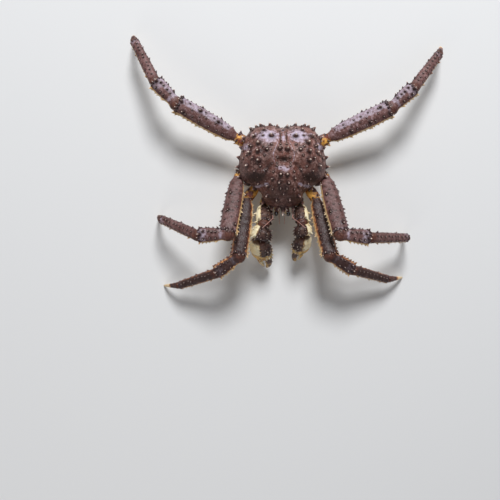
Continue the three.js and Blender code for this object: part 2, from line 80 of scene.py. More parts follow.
TOE_HEIGHT = 0.015  # a point lower than this is a toe
TOE_FLAT = 0.0002  # a toe's corners this close above its lowest one belong to its flat
SHARPNESS = 2.6  # a spine's faces meet at less than this at its tip, in radians
TOUCHING = 0.0008  # solids this close meet in a joint


class Solid:
    """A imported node's welded corners and triangles."""

    def __init__(self, name):
        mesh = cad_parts[name].data
        mesh.calc_loop_triangles()
        raw = np.array([v.co[:] for v in mesh.vertices])
        corners = np.array([t.vertices[:] for t in mesh.loop_triangles])
        self.points, place = np.unique(np.round(raw, 6), axis=0, return_inverse=True)
        self.triangles = place.reshape(-1)[corners]
        same = (self.triangles == np.roll(self.triangles, 1, axis=1)).any(axis=1)
        self.triangles = self.triangles[~same]

    def spines(self):
        """Foot and tip of each spine: a tip's faces meet at far less than a full turn."""
        turn = np.zeros(len(self.points))
        for k in range(3):
            a, b, c = (self.points[self.triangles[:, (k + i) % 3]] for i in range(3))
            cosine = (unit(b - a) * unit(c - a)).sum(axis=1)
            np.add.at(turn, self.triangles[:, k], np.arccos(np.clip(cosine, -1, 1)))
        found = []
        for tip in np.flatnonzero((turn > 0) & (turn < SHARPNESS) & (self.points[:, 2] > TOE_HEIGHT)):
            near = np.unique(self.triangles[(self.triangles == tip).any(axis=1)])
            found.append((self.points[near[near != tip]].mean(axis=0), self.points[tip]))
        return found

    def tree(self):
        return BVHTree.FromPolygons(self.points.tolist(), self.triangles.tolist())


solids = {name: Solid(name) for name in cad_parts}


def joint_between(a, b):
    """The middle of the face where two neighbouring solids meet."""
    touching = []
    for one, other in ((a, b), (b, a)):
        tree = solids[other].tree()
        near = [p for p in solids[one].points if tree.find_nearest(Vector(p))[3] < TOUCHING]
        touching.append(np.array(near))
    spread = [np.inf if len(near) < 3 else np.linalg.norm(near - near.mean(axis=0), axis=1).max()
              for near in touching]
    return touching[int(np.argmin(spread))].mean(axis=0)


def far_end(name, start, count=7):
    """The middle of the corners of a solid that are farthest from a point."""
    points = solids[name].points
    order = np.argsort(np.linalg.norm(points - start, axis=1))
    return points[order[-count:]].mean(axis=0)


# Meshes made of closed grids, with the masks that the materials read

# The masks that the materials read: the dark one lays mostly painted shade, and the pink one carries the
# shell's own pink and cream together with a painted sheen.
MASKS = ("tip", "root", "pale", "warm", "dark", "tint_and_sheen", "blood")


def placed(name, data):
    """A new object in the scene."""
    thing = bpy.data.objects.new(name, data)
    bpy.context.scene.collection.objects.link(thing)
    return thing


def enlist(piece, nodes, slot):
    """Says that a piece rides on the body and which solids it stands for. Its slot is not used."""
    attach(piece, "root")
    if nodes:
        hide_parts(*nodes)


def paint(mesh, masks, grain):
    """Writes the masks and the grain at a mesh's corners."""
    for name in MASKS:
        layer = mesh.attributes.new(name, "FLOAT", "POINT")
        values = np.broadcast_to(masks.get(name, 0.0), len(mesh.vertices))
        layer.data.foreach_set("value", values.astype(np.float32))
    layer = mesh.attributes.new("grain", "FLOAT_VECTOR", "POINT")
    layer.data.foreach_set("vector", grain.astype(np.float32).reshape(-1))


class Piece:
    """One visual piece, gathered from closed grids."""

    def __init__(self):
        self.points, self.quads, self.tris, self.count = [], [], [], 0
        self.masks = {name: [] for name in MASKS}
        self.grain = []

    def add(self, grid, grain=None, **masks):
        """Adds a grid that closes round its second axis, with a fan over each end."""
        rows, sides = grid.shape[:2]
        points = with_ends(grid)
        here = np.arange(rows * sides).reshape(rows, sides)
        after = np.roll(here, -1, axis=1)
        quads = np.stack([here[:-1], after[:-1], after[1:], here[1:]], axis=-1).reshape(-1, 4)
        first, last = (np.full(sides, rows * sides + k) for k in range(2))
        tris = np.concatenate([np.stack([first, after[0], here[0]], axis=-1),
                               np.stack([last, here[-1], after[-1]], axis=-1)])
        faces = np.concatenate([quads[:, :3], quads[:, [0, 2, 3]], tris])
        a, b, c = (points[faces[:, k]] - points.mean(axis=0) for k in range(3))
        if (np.cross(a, b) * c).sum() < 0:
            quads, tris = quads[:, ::-1], tris[:, ::-1]
        self.points.append(points)
        self.quads.append(quads + self.count)
        self.tris.append(tris + self.count)
        self.count += len(points)
        for name in MASKS:
            value = np.broadcast_to(masks.get(name, 0.0), (rows, sides)).astype(float)
            self.masks[name].append(with_ends(value[..., None])[:, 0])
        self.grain.append(with_ends(grid if grain is None else grain))

    def object(self, name, nodes, slot, material=None):
        """Makes the object, which stands for some solids. Its slot names its material by default."""
        points = np.concatenate(self.points)
        quads, tris = np.concatenate(self.quads), np.concatenate(self.tris)
        mesh = bpy.data.meshes.new(name)
        mesh.vertices.add(len(points))
        mesh.vertices.foreach_set("co", points.reshape(-1))
        mesh.loops.add(quads.size + tris.size)
        corners = np.concatenate([quads.reshape(-1), tris.reshape(-1)])
        mesh.loops.foreach_set("vertex_index", corners.astype(np.int32))
        mesh.polygons.add(len(quads) + len(tris))
        starts = np.concatenate([np.arange(len(quads)) * 4, quads.size + np.arange(len(tris)) * 3])
        mesh.polygons.foreach_set("loop_start", starts.astype(np.int32))
        mesh.update(calc_edges=True)
        mesh.validate()
        mesh.shade_smooth()
        masks = {mask: np.concatenate(values) for mask, values in self.masks.items()}
        paint(mesh, masks, np.concatenate(self.grain))
        mesh.materials.append(materials[material or slot])
        enlist(placed(name, mesh), nodes, slot)


def single(name, grid, nodes, slot, material=None, **masks):
    """A piece of one grid."""
    piece = Piece()
    piece.add(grid, **masks)
    piece.object(name, nodes, slot, material)


def with_ends(grid):
    """A grid's values in a row, then the means of its first and last rings for the fans."""
    flat = grid.reshape(-1, grid.shape[-1])
    return np.concatenate([flat, [grid[0].mean(axis=0), grid[-1].mean(axis=0)]])


def grid_normals(grid):
    """Outward normals of a grid that closes round its second axis."""
    along = np.gradient(grid, axis=0)
    around = np.roll(grid, -1, axis=1) - np.roll(grid, 1, axis=1)
    normal = unit(np.cross(along, around))
    outward = ((grid - grid.mean(axis=1, keepdims=True)) * normal).sum()
    return normal if outward > 0 else -normal


class Path:
    """Points along a limb, with the directions across it."""

    def __init__(self, points, up=(0, 0, 1), tangent=None):
        self.points = np.asarray(points, float)
        self.tangent = unit(np.gradient(self.points, axis=0)) if tangent is None else tangent
        up = np.asarray(up, float)
        self.lift = unit(up - self.tangent * (self.tangent @ up)[:, None])
        self.side = np.cross(self.lift, self.tangent)
        steps = np.linalg.norm(np.diff(self.points, axis=0), axis=1)
        self.length = np.concatenate([[0], np.cumsum(steps)])

    def loft(self, wide, high, sides, square=2.3):
        """A grid of oval sections. square above 2 fills the corners."""
        theta = np.linspace(0, 2 * math.pi, sides, endpoint=False)
        c, s = np.cos(theta), np.sin(theta)
        across = np.sign(c) * np.abs(c) ** (2 / square)
        up = np.sign(s) * np.abs(s) ** (2 / square)
        grid = (self.points[:, None]
                + self.side[:, None] * (wide[:, None] * across)[..., None]
                + self.lift[:, None] * (high[:, None] * up)[..., None])
        return grid, np.broadcast_to(theta, grid.shape[:2])


def bow(start, middle, end, count):
    """A quadratic curve drawn towards middle."""
    t = np.linspace(0, 1, count)[:, None]
    return (1 - t) ** 2 * start + 2 * t * (1 - t) * middle + t * t * end


def through(points, count):
    """A smooth curve through a few points."""
    points = np.asarray(points, float)
    ends = np.concatenate([[2 * points[0] - points[1]], points, [2 * points[-1] - points[-2]]])
    t = np.linspace(0, len(points) - 1 - 1e-9, count)
    i = t.astype(int)
    f = (t - i)[:, None]
    p0, p1, p2, p3 = (ends[i + k] for k in range(4))
    return 0.5 * (2 * p1 + (p2 - p0) * f + (2 * p0 - 5 * p1 + 4 * p2 - p3) * f ** 2
                  + (3 * p1 - p0 - 3 * p2 + p3) * f ** 3)


PROFILE_STEPS, PROFILE_EASE = 400, 14


def profile(stops, t):
    """Reads values between stops along a limb, eased so that no corner shows."""
    at, value = zip(*stops)
    fine = np.linspace(0, 1, PROFILE_STEPS)
    padded = np.pad(np.interp(fine, at, value), PROFILE_EASE, mode="edge")
    window = np.hanning(2 * PROFILE_EASE + 1)
    soft = np.convolve(padded, window / window.sum(), mode="valid")
    return np.interp(t, fine, soft)


# Spines

SPINE_RINGS = np.array([-0.4, -0.1, 0.08, 0.24, 0.42, 0.6, 0.76, 0.89, 0.975])  # shares of the height
SPINE_GIRTH = np.array([1.25, 1.06, 0.86, 0.7, 0.53, 0.38, 0.25, 0.13, 0.04])  # the girth at each
SPINE_SIDES = 9
SPINE_TAPER, SPINE_POINT = 0.33, 0.0007  # a spine's radius for its height, and what is added to it
FAIR_ROOT = 0.75  # how much of a spine's dark foot goes where the shell is pale
TRIES = 12  # places tried for each small spine


def standing(foot, heading, height):
    """Foot and tip of a spine."""
    return foot, foot + unit(heading) * height


def twins(across):
    """Both sides of the crab, or just one for something in the middle."""
    return (1, -1) if across else (1,)


def mask_at(grid, mask, foot):
    """A mask's value on the surface where a spine stands."""
    k = np.argmin(((grid - foot) ** 2).sum(axis=-1))
    return float(np.broadcast_to(mask, grid.shape[:2]).reshape(-1)[k])


def spine_radius(height):
    return SPINE_TAPER * height + SPINE_POINT


def add_spine(piece, foot, tip, white=1.0, girth=1.0, fair=0.0):
    """A slightly hooked cone with a spread foot and a white point, dark unless its shell is fair."""
    height = np.linalg.norm(tip - foot)
    heading = (tip - foot) / height
    helper = np.array([1.0, 0, 0]) if abs(heading[0]) < 0.8 else np.array([0, 1.0, 0])
    side = unit(np.cross(heading, helper))
    other = np.cross(heading, side)
    theta = np.linspace(0, 2 * math.pi, SPINE_SIDES, endpoint=False)
    radius = spine_radius(height) * girth * SPINE_GIRTH
    lean = rng.normal(0, 0.05, 2) * height
    curve = np.clip(SPINE_RINGS, 0, 1) ** 2 - np.clip(SPINE_RINGS, 0, 1)
    centre_line = (foot + heading * (SPINE_RINGS * height)[:, None]
                   + (side * lean[0] + other * lean[1]) * curve[:, None] * 2)
    ring = side * np.cos(theta)[:, None] + other * np.sin(theta)[:, None]
    grid = centre_line[:, None] + ring * radius[:, None, None]
    share = np.broadcast_to(SPINE_RINGS[:, None], grid.shape[:2])
    white_from = rng.uniform(0.55, 0.7)
    piece.add(grid, tip=smoothstep(white_from, white_from + 0.2, share) * white,
              root=smoothstep(0.8, 0.15, share) * (1 - FAIR_ROOT * fair), pale=0.8 * fair)


def mounds(grid, normal, spines, root, swell, stain=1.35):
    """Raises the surface round each spine's foot and stains it dark."""
    moved = grid.copy()
    for foot, tip in spines:
        height = np.linalg.norm(tip - foot)
        radius = spine_radius(height)
        distance = np.linalg.norm(grid - foot, axis=-1)
        moved += normal * (np.exp(-(distance / (1.3 * radius)) ** 2) * swell * height)[..., None]
        np.maximum(root, np.exp(-(distance / (stain * radius)) ** 4), out=root)
    return moved


def seated(spines, surface):
    """The spines, moved so that their feet stand on a surface."""
    flat = surface.reshape(-1, 3)
    moved = []
    for foot, tip in spines:
        shift = flat[np.argmin(((flat - foot) ** 2).sum(axis=1))] - foot
        moved.append((foot + shift, tip + shift))
    return moved


def clear_of(spines, taken, gap):
    """The spines that stand at least a gap away from those already there."""
    feet = np.array([foot for foot, _ in taken]).reshape(-1, 3)
    if not len(feet):
        return spines
    return [s for s in spines if np.linalg.norm(feet - s[0], axis=1).min() > gap]


def scatter(grid, normal, taken, count, heights, allowed, gap):
    """Small spines at random places of a surface, clear of each other and of those that stand."""
    found = []
    feet = [foot for foot, _ in taken]
    places = np.argwhere(np.broadcast_to(allowed, grid.shape[:2]))
    for i, j in places[rng.permutation(len(places))[: count * TRIES]]:
        if len(found) == count:
            break
        point = grid[i, j]
        if feet and np.linalg.norm(np.array(feet) - point, axis=1).min() < gap:
            continue
        height = rng.uniform(*heights)
        found.append(standing(point, normal[i, j] + rng.normal(0, 0.12, 3), height))
        feet.append(point)
    return found


def grain_along(at, theta, radius):
    """Coordinates that run along a limb and round it."""
    return np.stack([at[:, None] + 0 * theta, theta * radius, 0 * theta], axis=-1)


# Materials

CLOUDS, PATCHES, MOTTLE, SPECKLE = 16.0, 46.0, 170.0, 620.0  # texture scales, to the metre
WARM_EDGE, WARM_SPOTS, GRANULES, WRINKLES = 110.0, 90.0, 420.0, 420.0
EYE_TONE, EYE_FACETS = 300.0, 2600.0


class Nodes:
    """A material's nodes, with a short call for each kind."""

    def __init__(self, name):
        self.material = bpy.data.materials.new(name)
        self.material.use_nodes = True
        self.tree = self.material.node_tree

    def set(self, socket, value):
        """Links a socket to another, or gives it a number or a colour."""
        if isinstance(value, bpy.types.NodeSocket):
            self.tree.links.new(value, socket)
        else:
            socket.default_value = (*value, 1) if isinstance(value, tuple) else value

    def make(self, kind, inputs, **settings):
        node = self.tree.nodes.new("ShaderNode" + kind)
        for key, value in settings.items():
            setattr(node, key, value)
        for key, value in inputs.items():
            self.set(node.inputs[key], value)
        return node

    def place(self):
        return self.make("TexCoord", {}).outputs["Object"]

    def noise(self, place, scale, detail=4.0, rough=0.55):
        inputs = {"Vector": place, "Scale": scale, "Detail": detail, "Roughness": rough}
        return self.make("TexNoise", inputs).outputs["Fac"]

    def spread(self, value, low, high, to_low=0.0, to_high=1.0):
        inputs = {"Value": value, "From Min": low, "From Max": high, "To Min": to_low, "To Max": to_high}
        return self.make("MapRange", inputs).outputs["Result"]

    def mix(self, factor, a, b):
        return self.make("Mix", {0: factor, 6: a, 7: b}, data_type="RGBA").outputs[2]

    def add(self, a, b):
        return self.make("Math", {0: a, 1: b}, operation="ADD").outputs[0]

    def times(self, a, b):
        return self.make("Math", {0: a, 1: b}, operation="MULTIPLY").outputs[0]

    def mask(self, key):
        return self.make("Attribute", {}, attribute_name=key).outputs["Fac"]

    def ragged(self, key, texture, amount):
        """A mask whose edge a texture breaks up."""
        return self.add(self.mask(key), self.spread(texture, 0.3, 0.7, -amount, amount))

    def relief(self, height, strength, distance):
        inputs = {"Height": height, "Strength": strength, "Distance": distance}
        return self.make("Bump", inputs).outputs["Normal"]

    def shade(self, inputs):
        """Sets the shader's sockets and gives the finished material."""
        for key, value in inputs.items():
            self.set(self.tree.nodes["Principled BSDF"].inputs[key], value)
        return self.material


# Shell tones: the deep one is laid mostly as painted shade, and the pink one is the shell's own pink
# together with a painted sheen.
PLUM = {
    "dark": (0.045, 0.012, 0.008), "mid": (0.195, 0.070, 0.050), "light": (0.41, 0.24, 0.205),
    "speck": (0.36, 0.23, 0.21), "deep": (0.016, 0.004, 0.002), "border": (0.36, 0.12, 0.035),
    "under": (0.74, 0.6, 0.38), "under_warm": (0.74, 0.46, 0.19), "hot": (0.8, 0.4, 0.08),
    "hot_dark": (0.16, 0.025, 0.01), "blood": (0.045, 0.011, 0.007), "rust": (0.115, 0.038, 0.022),
    "tint_and_sheen": (0.42, 0.31, 0.35), "root": (0.020, 0.0045, 0.004), "tip": (0.86, 0.71, 0.6),
}


def shell_material(name, colours, roughness=(0.36, 0.62), coat=0.18, bump=1.0, wrinkles=0.0):
    """Shell: mottled, granular and wet. The masks of the mesh place its other colours."""
    nodes = Nodes(name)
    mix, spread, ragged = nodes.mix, nodes.spread, nodes.ragged
    tones = {**PLUM, **colours}
    place = nodes.place()
    clouds = nodes.noise(place, CLOUDS, 3.0)
    patches = nodes.noise(place, PATCHES, 5.0, 0.6)
    mottle = nodes.noise(place, MOTTLE, 4.0, 0.65)
    speckle = nodes.noise(place, SPECKLE, 2.0, 0.6)
    belly = ragged("pale", mottle, 0.28)
    heat = ragged("warm", nodes.noise(place, WARM_EDGE, 3.0), 0.3)
    under = mix(spread(patches, 0.35, 0.65), tones["under"], tones["under_warm"])
    hot = mix(spread(nodes.noise(place, WARM_SPOTS, 3.0), 0.46, 0.6), tones["hot"], tones["hot_dark"])
    rust = mix(spread(mottle, 0.4, 0.62), tones["blood"], tones["rust"])
    colour = mix(spread(patches, 0.36, 0.62), tones["dark"], tones["mid"])
    for cover, coat_colour in (
        (spread(mottle, 0.48, 0.68, 0.0, 0.9), tones["light"]),
        (spread(clouds, 0.46, 0.68, 0.0, 0.55), tones["dark"]),
        # the shell's own pink and cream, and a painted sheen where the wet shell would reflect the light
        (spread(ragged("tint_and_sheen", mottle, 0.3), 0.4, 0.95), tones["tint_and_sheen"]),
        (spread(speckle, 0.6, 0.74, 0.0, 0.5), tones["speck"]),
        # mostly painted shade on the back and the legs (shaded slopes, grooves, the legs' tops, the
        # insides of their rims); elsewhere the shell's own dark brown and darker grooves
        (spread(ragged("dark", patches, 0.2), 0.1, 1.0, 0.0, 0.9), tones["deep"]),
        (spread(belly, 0.28, 0.52), tones["border"]),
        (spread(belly, 0.5, 0.8), under),
        (spread(heat, 0.45, 0.75), hot),
        (spread(ragged("blood", mottle, 0.25), 0.3, 0.9, 0.0, 0.9), rust),
        (nodes.times(nodes.mask("root"), 0.92), tones["root"]),
        (nodes.mask("tip"), tones["tip"]),
    ):
        colour = mix(cover, colour, coat_colour)

    inputs = {"Vector": place, "Scale": GRANULES, "Smoothness": 0.6}
    cells = nodes.make("TexVoronoi", inputs, feature="SMOOTH_F1").outputs["Distance"]
    granules = nodes.times(spread(cells, 0.1, 0.7, 1.0, 0.0), spread(patches, 0.3, 0.7, 0.25, 0.8))
    height = nodes.add(granules, nodes.times(mottle, 1.6))
    height = nodes.add(height, nodes.times(speckle, 0.35))
    if wrinkles:
        grain = nodes.make("Attribute", {}, attribute_name="grain").outputs["Vector"]
        long = nodes.make("Mapping", {"Vector": grain})
        long.inputs["Scale"].default_value = (1.0, 0.2, 1.0)
        folds = nodes.noise(long.outputs["Vector"], WRINKLES, 3.0, 0.5)
        height = nodes.add(height, nodes.times(folds, wrinkles))
    normal = nodes.relief(height, 0.8, 0.0008 * bump)
    return nodes.shade({
        "Base Color": colour, "Roughness": spread(mottle, 0.3, 0.7, *roughness), "Coat Weight": coat,
        "Coat Roughness": 0.24, "Specular IOR Level": 0.3, "Normal": normal, "Coat Normal": normal})


def eye_material():
    """A black eye under a wet coat, with fine facets."""
    nodes = Nodes("eye")
    place = nodes.place()
    tone = nodes.noise(place, EYE_TONE, 2.0, 0.5)
    facets = nodes.make("TexVoronoi", {"Vector": place, "Scale": EYE_FACETS}).outputs["Distance"]
    return nodes.shade({
        "Base Color": nodes.mix(tone, (0.004, 0.003, 0.003), (0.02, 0.011, 0.009)), "Roughness": 0.2,
        "Coat Weight": 1.0, "Coat Roughness": 0.04, "Normal": nodes.relief(facets, 0.3, 0.0001)})


materials = {
    # The back's lavender tint is mostly laid as painted sheen.
    "back_shell": shell_material("shell of the back", {
        "tint_and_sheen": (0.50, 0.42, 0.51)}, roughness=(0.3, 0.6), coat=0.22, bump=1.5),
    "limb_shell": shell_material("shell of the limbs", {
        "dark": (0.072, 0.024, 0.019), "mid": (0.170, 0.077, 0.070), "light": (0.30, 0.172, 0.162),
        "tint_and_sheen": (0.44, 0.36, 0.43)}, coat=0.14, wrinkles=1.5),
    "claw": shell_material("shell of the claws", {
        "dark": (0.05, 0.022, 0.015), "mid": (0.12, 0.06, 0.045), "light": (0.22, 0.13, 0.09),
        "under": (0.84, 0.77, 0.56), "under_warm": (0.8, 0.64, 0.34), "hot": (0.68, 0.42, 0.12),
        "hot_dark": (0.36, 0.17, 0.045), "border": (0.42, 0.23, 0.07)}, wrinkles=0.8),
    "underside": shell_material("shell of the underside", {
        "dark": (0.6, 0.38, 0.19), "mid": (0.74, 0.56, 0.34), "light": (0.78, 0.66, 0.46),
        "speck": (0.6, 0.3, 0.14), "deep": (0.3, 0.1, 0.04), "blood": PLUM["dark"],
        "rust": PLUM["mid"]}, bump=0.7),
    "feeler": shell_material("shell of the feelers", {
        "dark": (0.36, 0.14, 0.11), "mid": (0.55, 0.29, 0.24), "light": (0.72, 0.52, 0.44)}, bump=0.5),
    "membrane": shell_material("skin of the joints", {
        "dark": (0.16, 0.03, 0.012), "mid": (0.3, 0.09, 0.03), "light": (0.5, 0.22, 0.09)}, bump=0.8),
    "eye": eye_material(),
}


# The carapace, drawn in millimetres from its middle

RIM_DEPTH, DOME_RISE = 0.009, 0.050
RINGS, SPOKES, UNDER_RINGS, OUTLINE_STEPS = 128, 500, 25, 1200
REAR_SPINE_TIP = 0.089  # behind the middle
STOUT_SPINE = 0.0062  # a taller spine is stouter too
SMALL_SPINES, SMALL_HEIGHTS = 70, (0.0014, 0.0026)
EXTRA_GAP, SMALL_GAP = 0.0055, 0.007  # least distances between spines
OUTLINE = np.array([
    [0, 79], [28, 83], [54, 79], [71, 66], [81, 42], [88, 10], [86, -12], [78, -30],
    [58, -41], [43, -54], [38, -69], [22, -80], [0, -84],
]) * MM
carapace_low, carapace_high = (np.array(c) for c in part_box("carapace"))
centre = np.array([(carapace_low[0] + carapace_high[0]) / 2, carapace_high[1] - REAR_SPINE_TIP, 0.0])
rim_height = carapace_low[2] + RIM_DEPTH


def outline_radius(angle):
    """The carapace's reach in each direction, seen from above."""
    twin = OUTLINE[1:-1][::-1] * [-1, 1]
    loop = np.concatenate([OUTLINE, twin, OUTLINE[:1]])
    curve = through(np.concatenate([loop[-3:-1], loop, loop[1:3]]), OUTLINE_STEPS)
    at, reach = np.arctan2(curve[:, 1], curve[:, 0]), np.hypot(*curve.T)
    order = np.argsort(at)
    return np.interp(angle, at[order], reach[order], period=2 * math.pi)


def swell(x, y, cx, cy, rx, ry):
    return np.exp(-((x - cx) / rx) ** 2 - ((y - cy) / ry) ** 2)


def relief_of(x, y):
    """How far the back stands above a plain dome, with shallow swellings all over, no two alike."""
    lobes, details = (sum(rise * swell(np.abs(x), y, *place) for rise, *place in part)
                      for part in (LOBES, DETAILS))
    lumps = np.zeros_like(x)
    for _ in range(LUMPS):
        cx, cy = rng.uniform(-85, 85, 2)
        lumps += rng.uniform(-0.9, 1.1) * swell(x, y, cx, cy, *rng.uniform(3.5, 9, 2))
    return lobes + (details + lumps)


def to_segment(x, y, a, b):
    """Distance from points to a straight stretch."""
    a, b = np.array(a, float), np.array(b, float)
    d = b - a
    t = np.clip(((x - a[0]) * d[0] + (y - a[1]) * d[1]) / (d @ d), 0, 1)
    return np.hypot(x - a[0] - t * d[0], y - a[1] - t * d[1])


LOBES = [  # rise, middle and reach of the swellings and hollows on the left, as in the solids
    (7, 47, 28, 26, 34), (9, 0, -32, 27, 24), (4, 0, 24, 13, 12), (-6, 0, 5, 17, 6), (-4, 0, 55, 9, 16),
    (-5, 34, -6, 12, 10), (-4, 48, -32, 10, 10),
]
DETAILS = [  # finer ones that the solids leave out
    (1.6, 0, -11, 16, 7), (-1.2, 0, 8, 12, 4), (1.6, 0, 70, 5, 5), (1.8, 31, -40, 7, 6),
    (1.5, 12, -60, 8, 9), (-1.6, 20, -50, 6, 9), (1.8, 9, 27, 5, 6), (2.6, 21, 4, 8, 6),
]
LUMPS = 110
GROOVES = [  # ends of each groove on the left, with its half width and depth
    ((6, 66), (5.5, 42), 1.5, 1.8), ((23, 0), (31, -8), 3.4, 1.2), ((31, -8), (43, -30), 4.2, 1.8),
    ((31, -8), (52, -12), 4.0, 0.8), ((24, -42), (40, -56), 2.4, 0.9), ((58, 62), (74, 44), 2.2, 0.6),
]
CREAM_LINES = [((9, 64), (10.5, 45)), ((10.5, 45), (21, 18)), ((21, 18), (18, 3))]
CREAM_WIDTH = 1.1
PAINTED_SHEEN = [  # middle, reach and strength of each patch of painted sheen on the left, where the wet shell would reflect the light
    (29, 56, 24, 17, 1.05), (73, 37, 11, 10, 0.85), (0, 53, 4.5, 12, 1.0), (0, 70, 5, 5, 0.8),
    (56, 60, 10, 9, 0.6), (0, -10, 19, 8, 0.78), (33, -40, 6, 5, 1.15), (50, 34, 22, 22, 0.3),
    (50, -41, 13, 4, 0.9), (0, 24, 16, 12, 0.2),
]
SHADED = [  # the same for each patch of painted shade: slopes facing away from the light, and hollows
    (0, 7.5, 12, 5.5, 1.0), (56, -24, 25, 14, 1.15), (0, -44, 22, 20, 0.6), (20, -64, 16, 12, 0.7),
    (33, 8, 10, 10, 0.4), (42, -28, 7, 8, 0.4), (80, 0, 8, 22, 0.4), (60, -4, 16, 10, 0.5),
]
EXTRA_SPINES = [  # x, y and height of finer spines on the left of the back, between the solids' own
    (10, 78, 5.5), (37, 79, 5.5), (17, 82, 4.5), (60, 72, 4.5), (67, 62, 4.5), (24, 37, 4.5), (6, 38, 4),
    (60, 12, 5.5), (57, -13, 5), (45, -4, 4.5), (62, 36, 5.5), (0, 70, 4.5), (79, 30, 5), (79, 14, 4.5),
    (13, 1, 3.2), (13, -5, 3), (6, -48, 5), (0, -58, 4.5), (20, -16, 4), (40, 57, 5), (12, 12, 3.5),
    (38, 16, 4), (72, 20, 4.5), (40, 33, 4), (76, 50, 4.5), (21, -49, 4), (11, -72, 4), (31, -42, 6),
    (49, -36, 5),
]
SNOUT = [  # foot and tip of the spines between the eyes, up from the rim
    ((0, -81, 3), (0, -101, 5)), ((7, -81, 4), (9, -90, 9)), ((-7, -81, 4), (-9, -90, 9)),
]


def patchwork(x, y, patches):
    """The strongest of a set of round patches, each with its twin."""
    return np.max([strength * swell(np.abs(x), y, *place) for *place, strength in patches], axis=0)


def strokes(x, y, lines, width):
    """The nearest of a set of lines, each with its twin."""
    return np.exp(-(np.min([to_segment(np.abs(x), y, a, b) for a, b in lines], axis=0) / width) ** 2)


def on_the_back(x, y, height, grid, normal):
    """A spine at a place of the carapace given in millimetres, leaning a little outward."""
    gap = np.hypot(grid[..., 0] - centre[0] - x * MM, grid[..., 1] - centre[1] - y * MM)
    i, j = np.unravel_index(np.argmin(gap), gap.shape)
    return standing(grid[i, j], normal[i, j] + rng.normal(0, 0.08, 3), height * MM)


def carapace_surface():
    """The back from its middle out to the rim and in below it, with its painted shade, and its painted
    sheen with the cream lines.
    """
    theta = np.linspace(0, 2 * math.pi, SPOKES, endpoint=False)
    reach = outline_radius(theta)

    def rings(share, height):
        share = share[:, None] * reach
        return np.stack([share * np.cos(theta), share * np.sin(theta), height + 0 * share], axis=-1)

    share = np.sin(np.linspace(0.008, math.pi / 2, RINGS)) ** 1.25
    top = rings(share, 0.0)
    x, y = top[..., 0] / MM, top[..., 1] / MM
    relief = relief_of(x, y)
    dark = patchwork(x, y, SHADED)
    for a, b, width, depth in GROOVES:
        valley = strokes(x, y, [(a, b)], width)
        relief -= depth * valley
        # painted shade in the groove, darker as it is deeper
        np.maximum(dark, valley * min(1, depth / 2), out=dark)
    ridge = strokes(x, y, CREAM_LINES, CREAM_WIDTH)
    relief += 0.5 * ridge
    # painted sheen where the wet shell would reflect the light, and the real cream lines
    light = np.maximum(patchwork(x, y, PAINTED_SHEEN), 0.7 * ridge)
    rise = (1 - share ** 2.3) ** 0.62
    top[..., 2] = rim_height + (DOME_RISE + relief * MM) * rise[:, None]
    below = np.linspace(math.pi / 2, math.pi - 0.02, UNDER_RINGS + 1)[1:]
    drop = RIM_DEPTH * np.minimum(1, 1.35 * np.abs(np.cos(below)) ** 0.8)
    under = rings(np.sin(below) ** 0.8, (rim_height - drop)[:, None])
    return np.concatenate([top, under]) + centre, dark, light


def build_carapace():
    grid, dark, light = carapace_surface()
    top, normal = grid[:RINGS], grid_normals(grid)
    rows = np.arange(len(grid))[:, None]
    spines = seated(solids["carapace"].spines(), top)
    planned = [on_the_back(side * x, y, tall, top, normal)
               for x, y, tall in EXTRA_SPINES for side in twins(x)]
    large = spines + clear_of(planned, spines, EXTRA_GAP)
    on_top = (rows > 10) & (rows < RINGS - 6)
    small = scatter(grid, normal, large, SMALL_SPINES, SMALL_HEIGHTS, on_top, SMALL_GAP)
    root = np.zeros(grid.shape[:2])
    grid = mounds(grid, normal, large, root, swell=0.26, stain=1.85)
    # The painted shade goes into the dark mask, and the painted sheen with the cream lines into the tint
    # one.
    dark, light = (np.pad(mask, ((0, UNDER_RINGS), (0, 0))) for mask in (dark, light))
    piece = Piece()
    piece.add(grid, root=root, dark=dark, tint_and_sheen=light, pale=smoothstep(RINGS - 1, RINGS + 8, rows))
    for spine in SNOUT:
        add_spine(piece, *(np.array(end) * MM + centre + [0, 0, rim_height] for end in spine), girth=0.8)
    for foot, tip in large:
        white = 0.35 + 0.55 * smoothstep(-0.06, 0.0, foot[1] - centre[1])
        stout = np.linalg.norm(tip - foot) > STOUT_SPINE
        add_spine(piece, foot, tip, white, girth=1.5 if stout else 1.3)
    for foot, tip in small:
        add_spine(piece, foot, tip, white=0.35)
    piece.object("shell_of_the_back", ["carapace"], "back_shell")


# The limbs

LEG_HALVES = {"hip": (0.012, 0.011), "merus": (0.0180, 0.013), "carpus": (0.0145, 0.0115),
              "propodus": (0.011, 0.009), "dactyl": (0.0065, 0.006)}
LEG_SCALES = {"leg1": 0.95, "leg2": 1.0, "leg3": 1.03}
LEG_SHAPES = {
    "hip": [(0, 1.1), (0.3, 1.2), (0.46, 0.86), (0.54, 0.84), (0.7, 1.0), (0.9, 1.0), (1, 0.9)],
    "merus": [(0, 0.62), (0.12, 0.8), (0.35, 0.95), (0.6, 1.0), (0.86, 0.98), (1, 0.94)],
    "carpus": [(0, 0.78), (0.12, 0.74), (0.3, 0.84), (0.6, 0.98), (0.85, 1.02), (1, 0.92)],
    "propodus": [(0, 0.86), (0.1, 0.92), (0.3, 1.0), (0.55, 0.93), (0.8, 0.84), (0.95, 0.84), (1, 0.8)],
    "dactyl": [(0, 0.86), (0.1, 0.96), (0.3, 0.84), (0.6, 0.62), (0.9, 0.36), (1, 0.24)],
}
SIDES = {"hip": 56, "merus": 76, "carpus": 68, "propodus": 56, "dactyl": 36, "palm": 64, "finger": 44}
STEP = 0.0012  # between rings
HEAD_SHARE = 0.84  # a segment's rounded head against the rim that holds it
HEAD_RINGS, HEAD_REACH = 16, 0.016  # rings of a head, and how far on the body takes over from it
RIM_SHARE = 0.3  # how far a rim stands back from the joint, in radii of the head
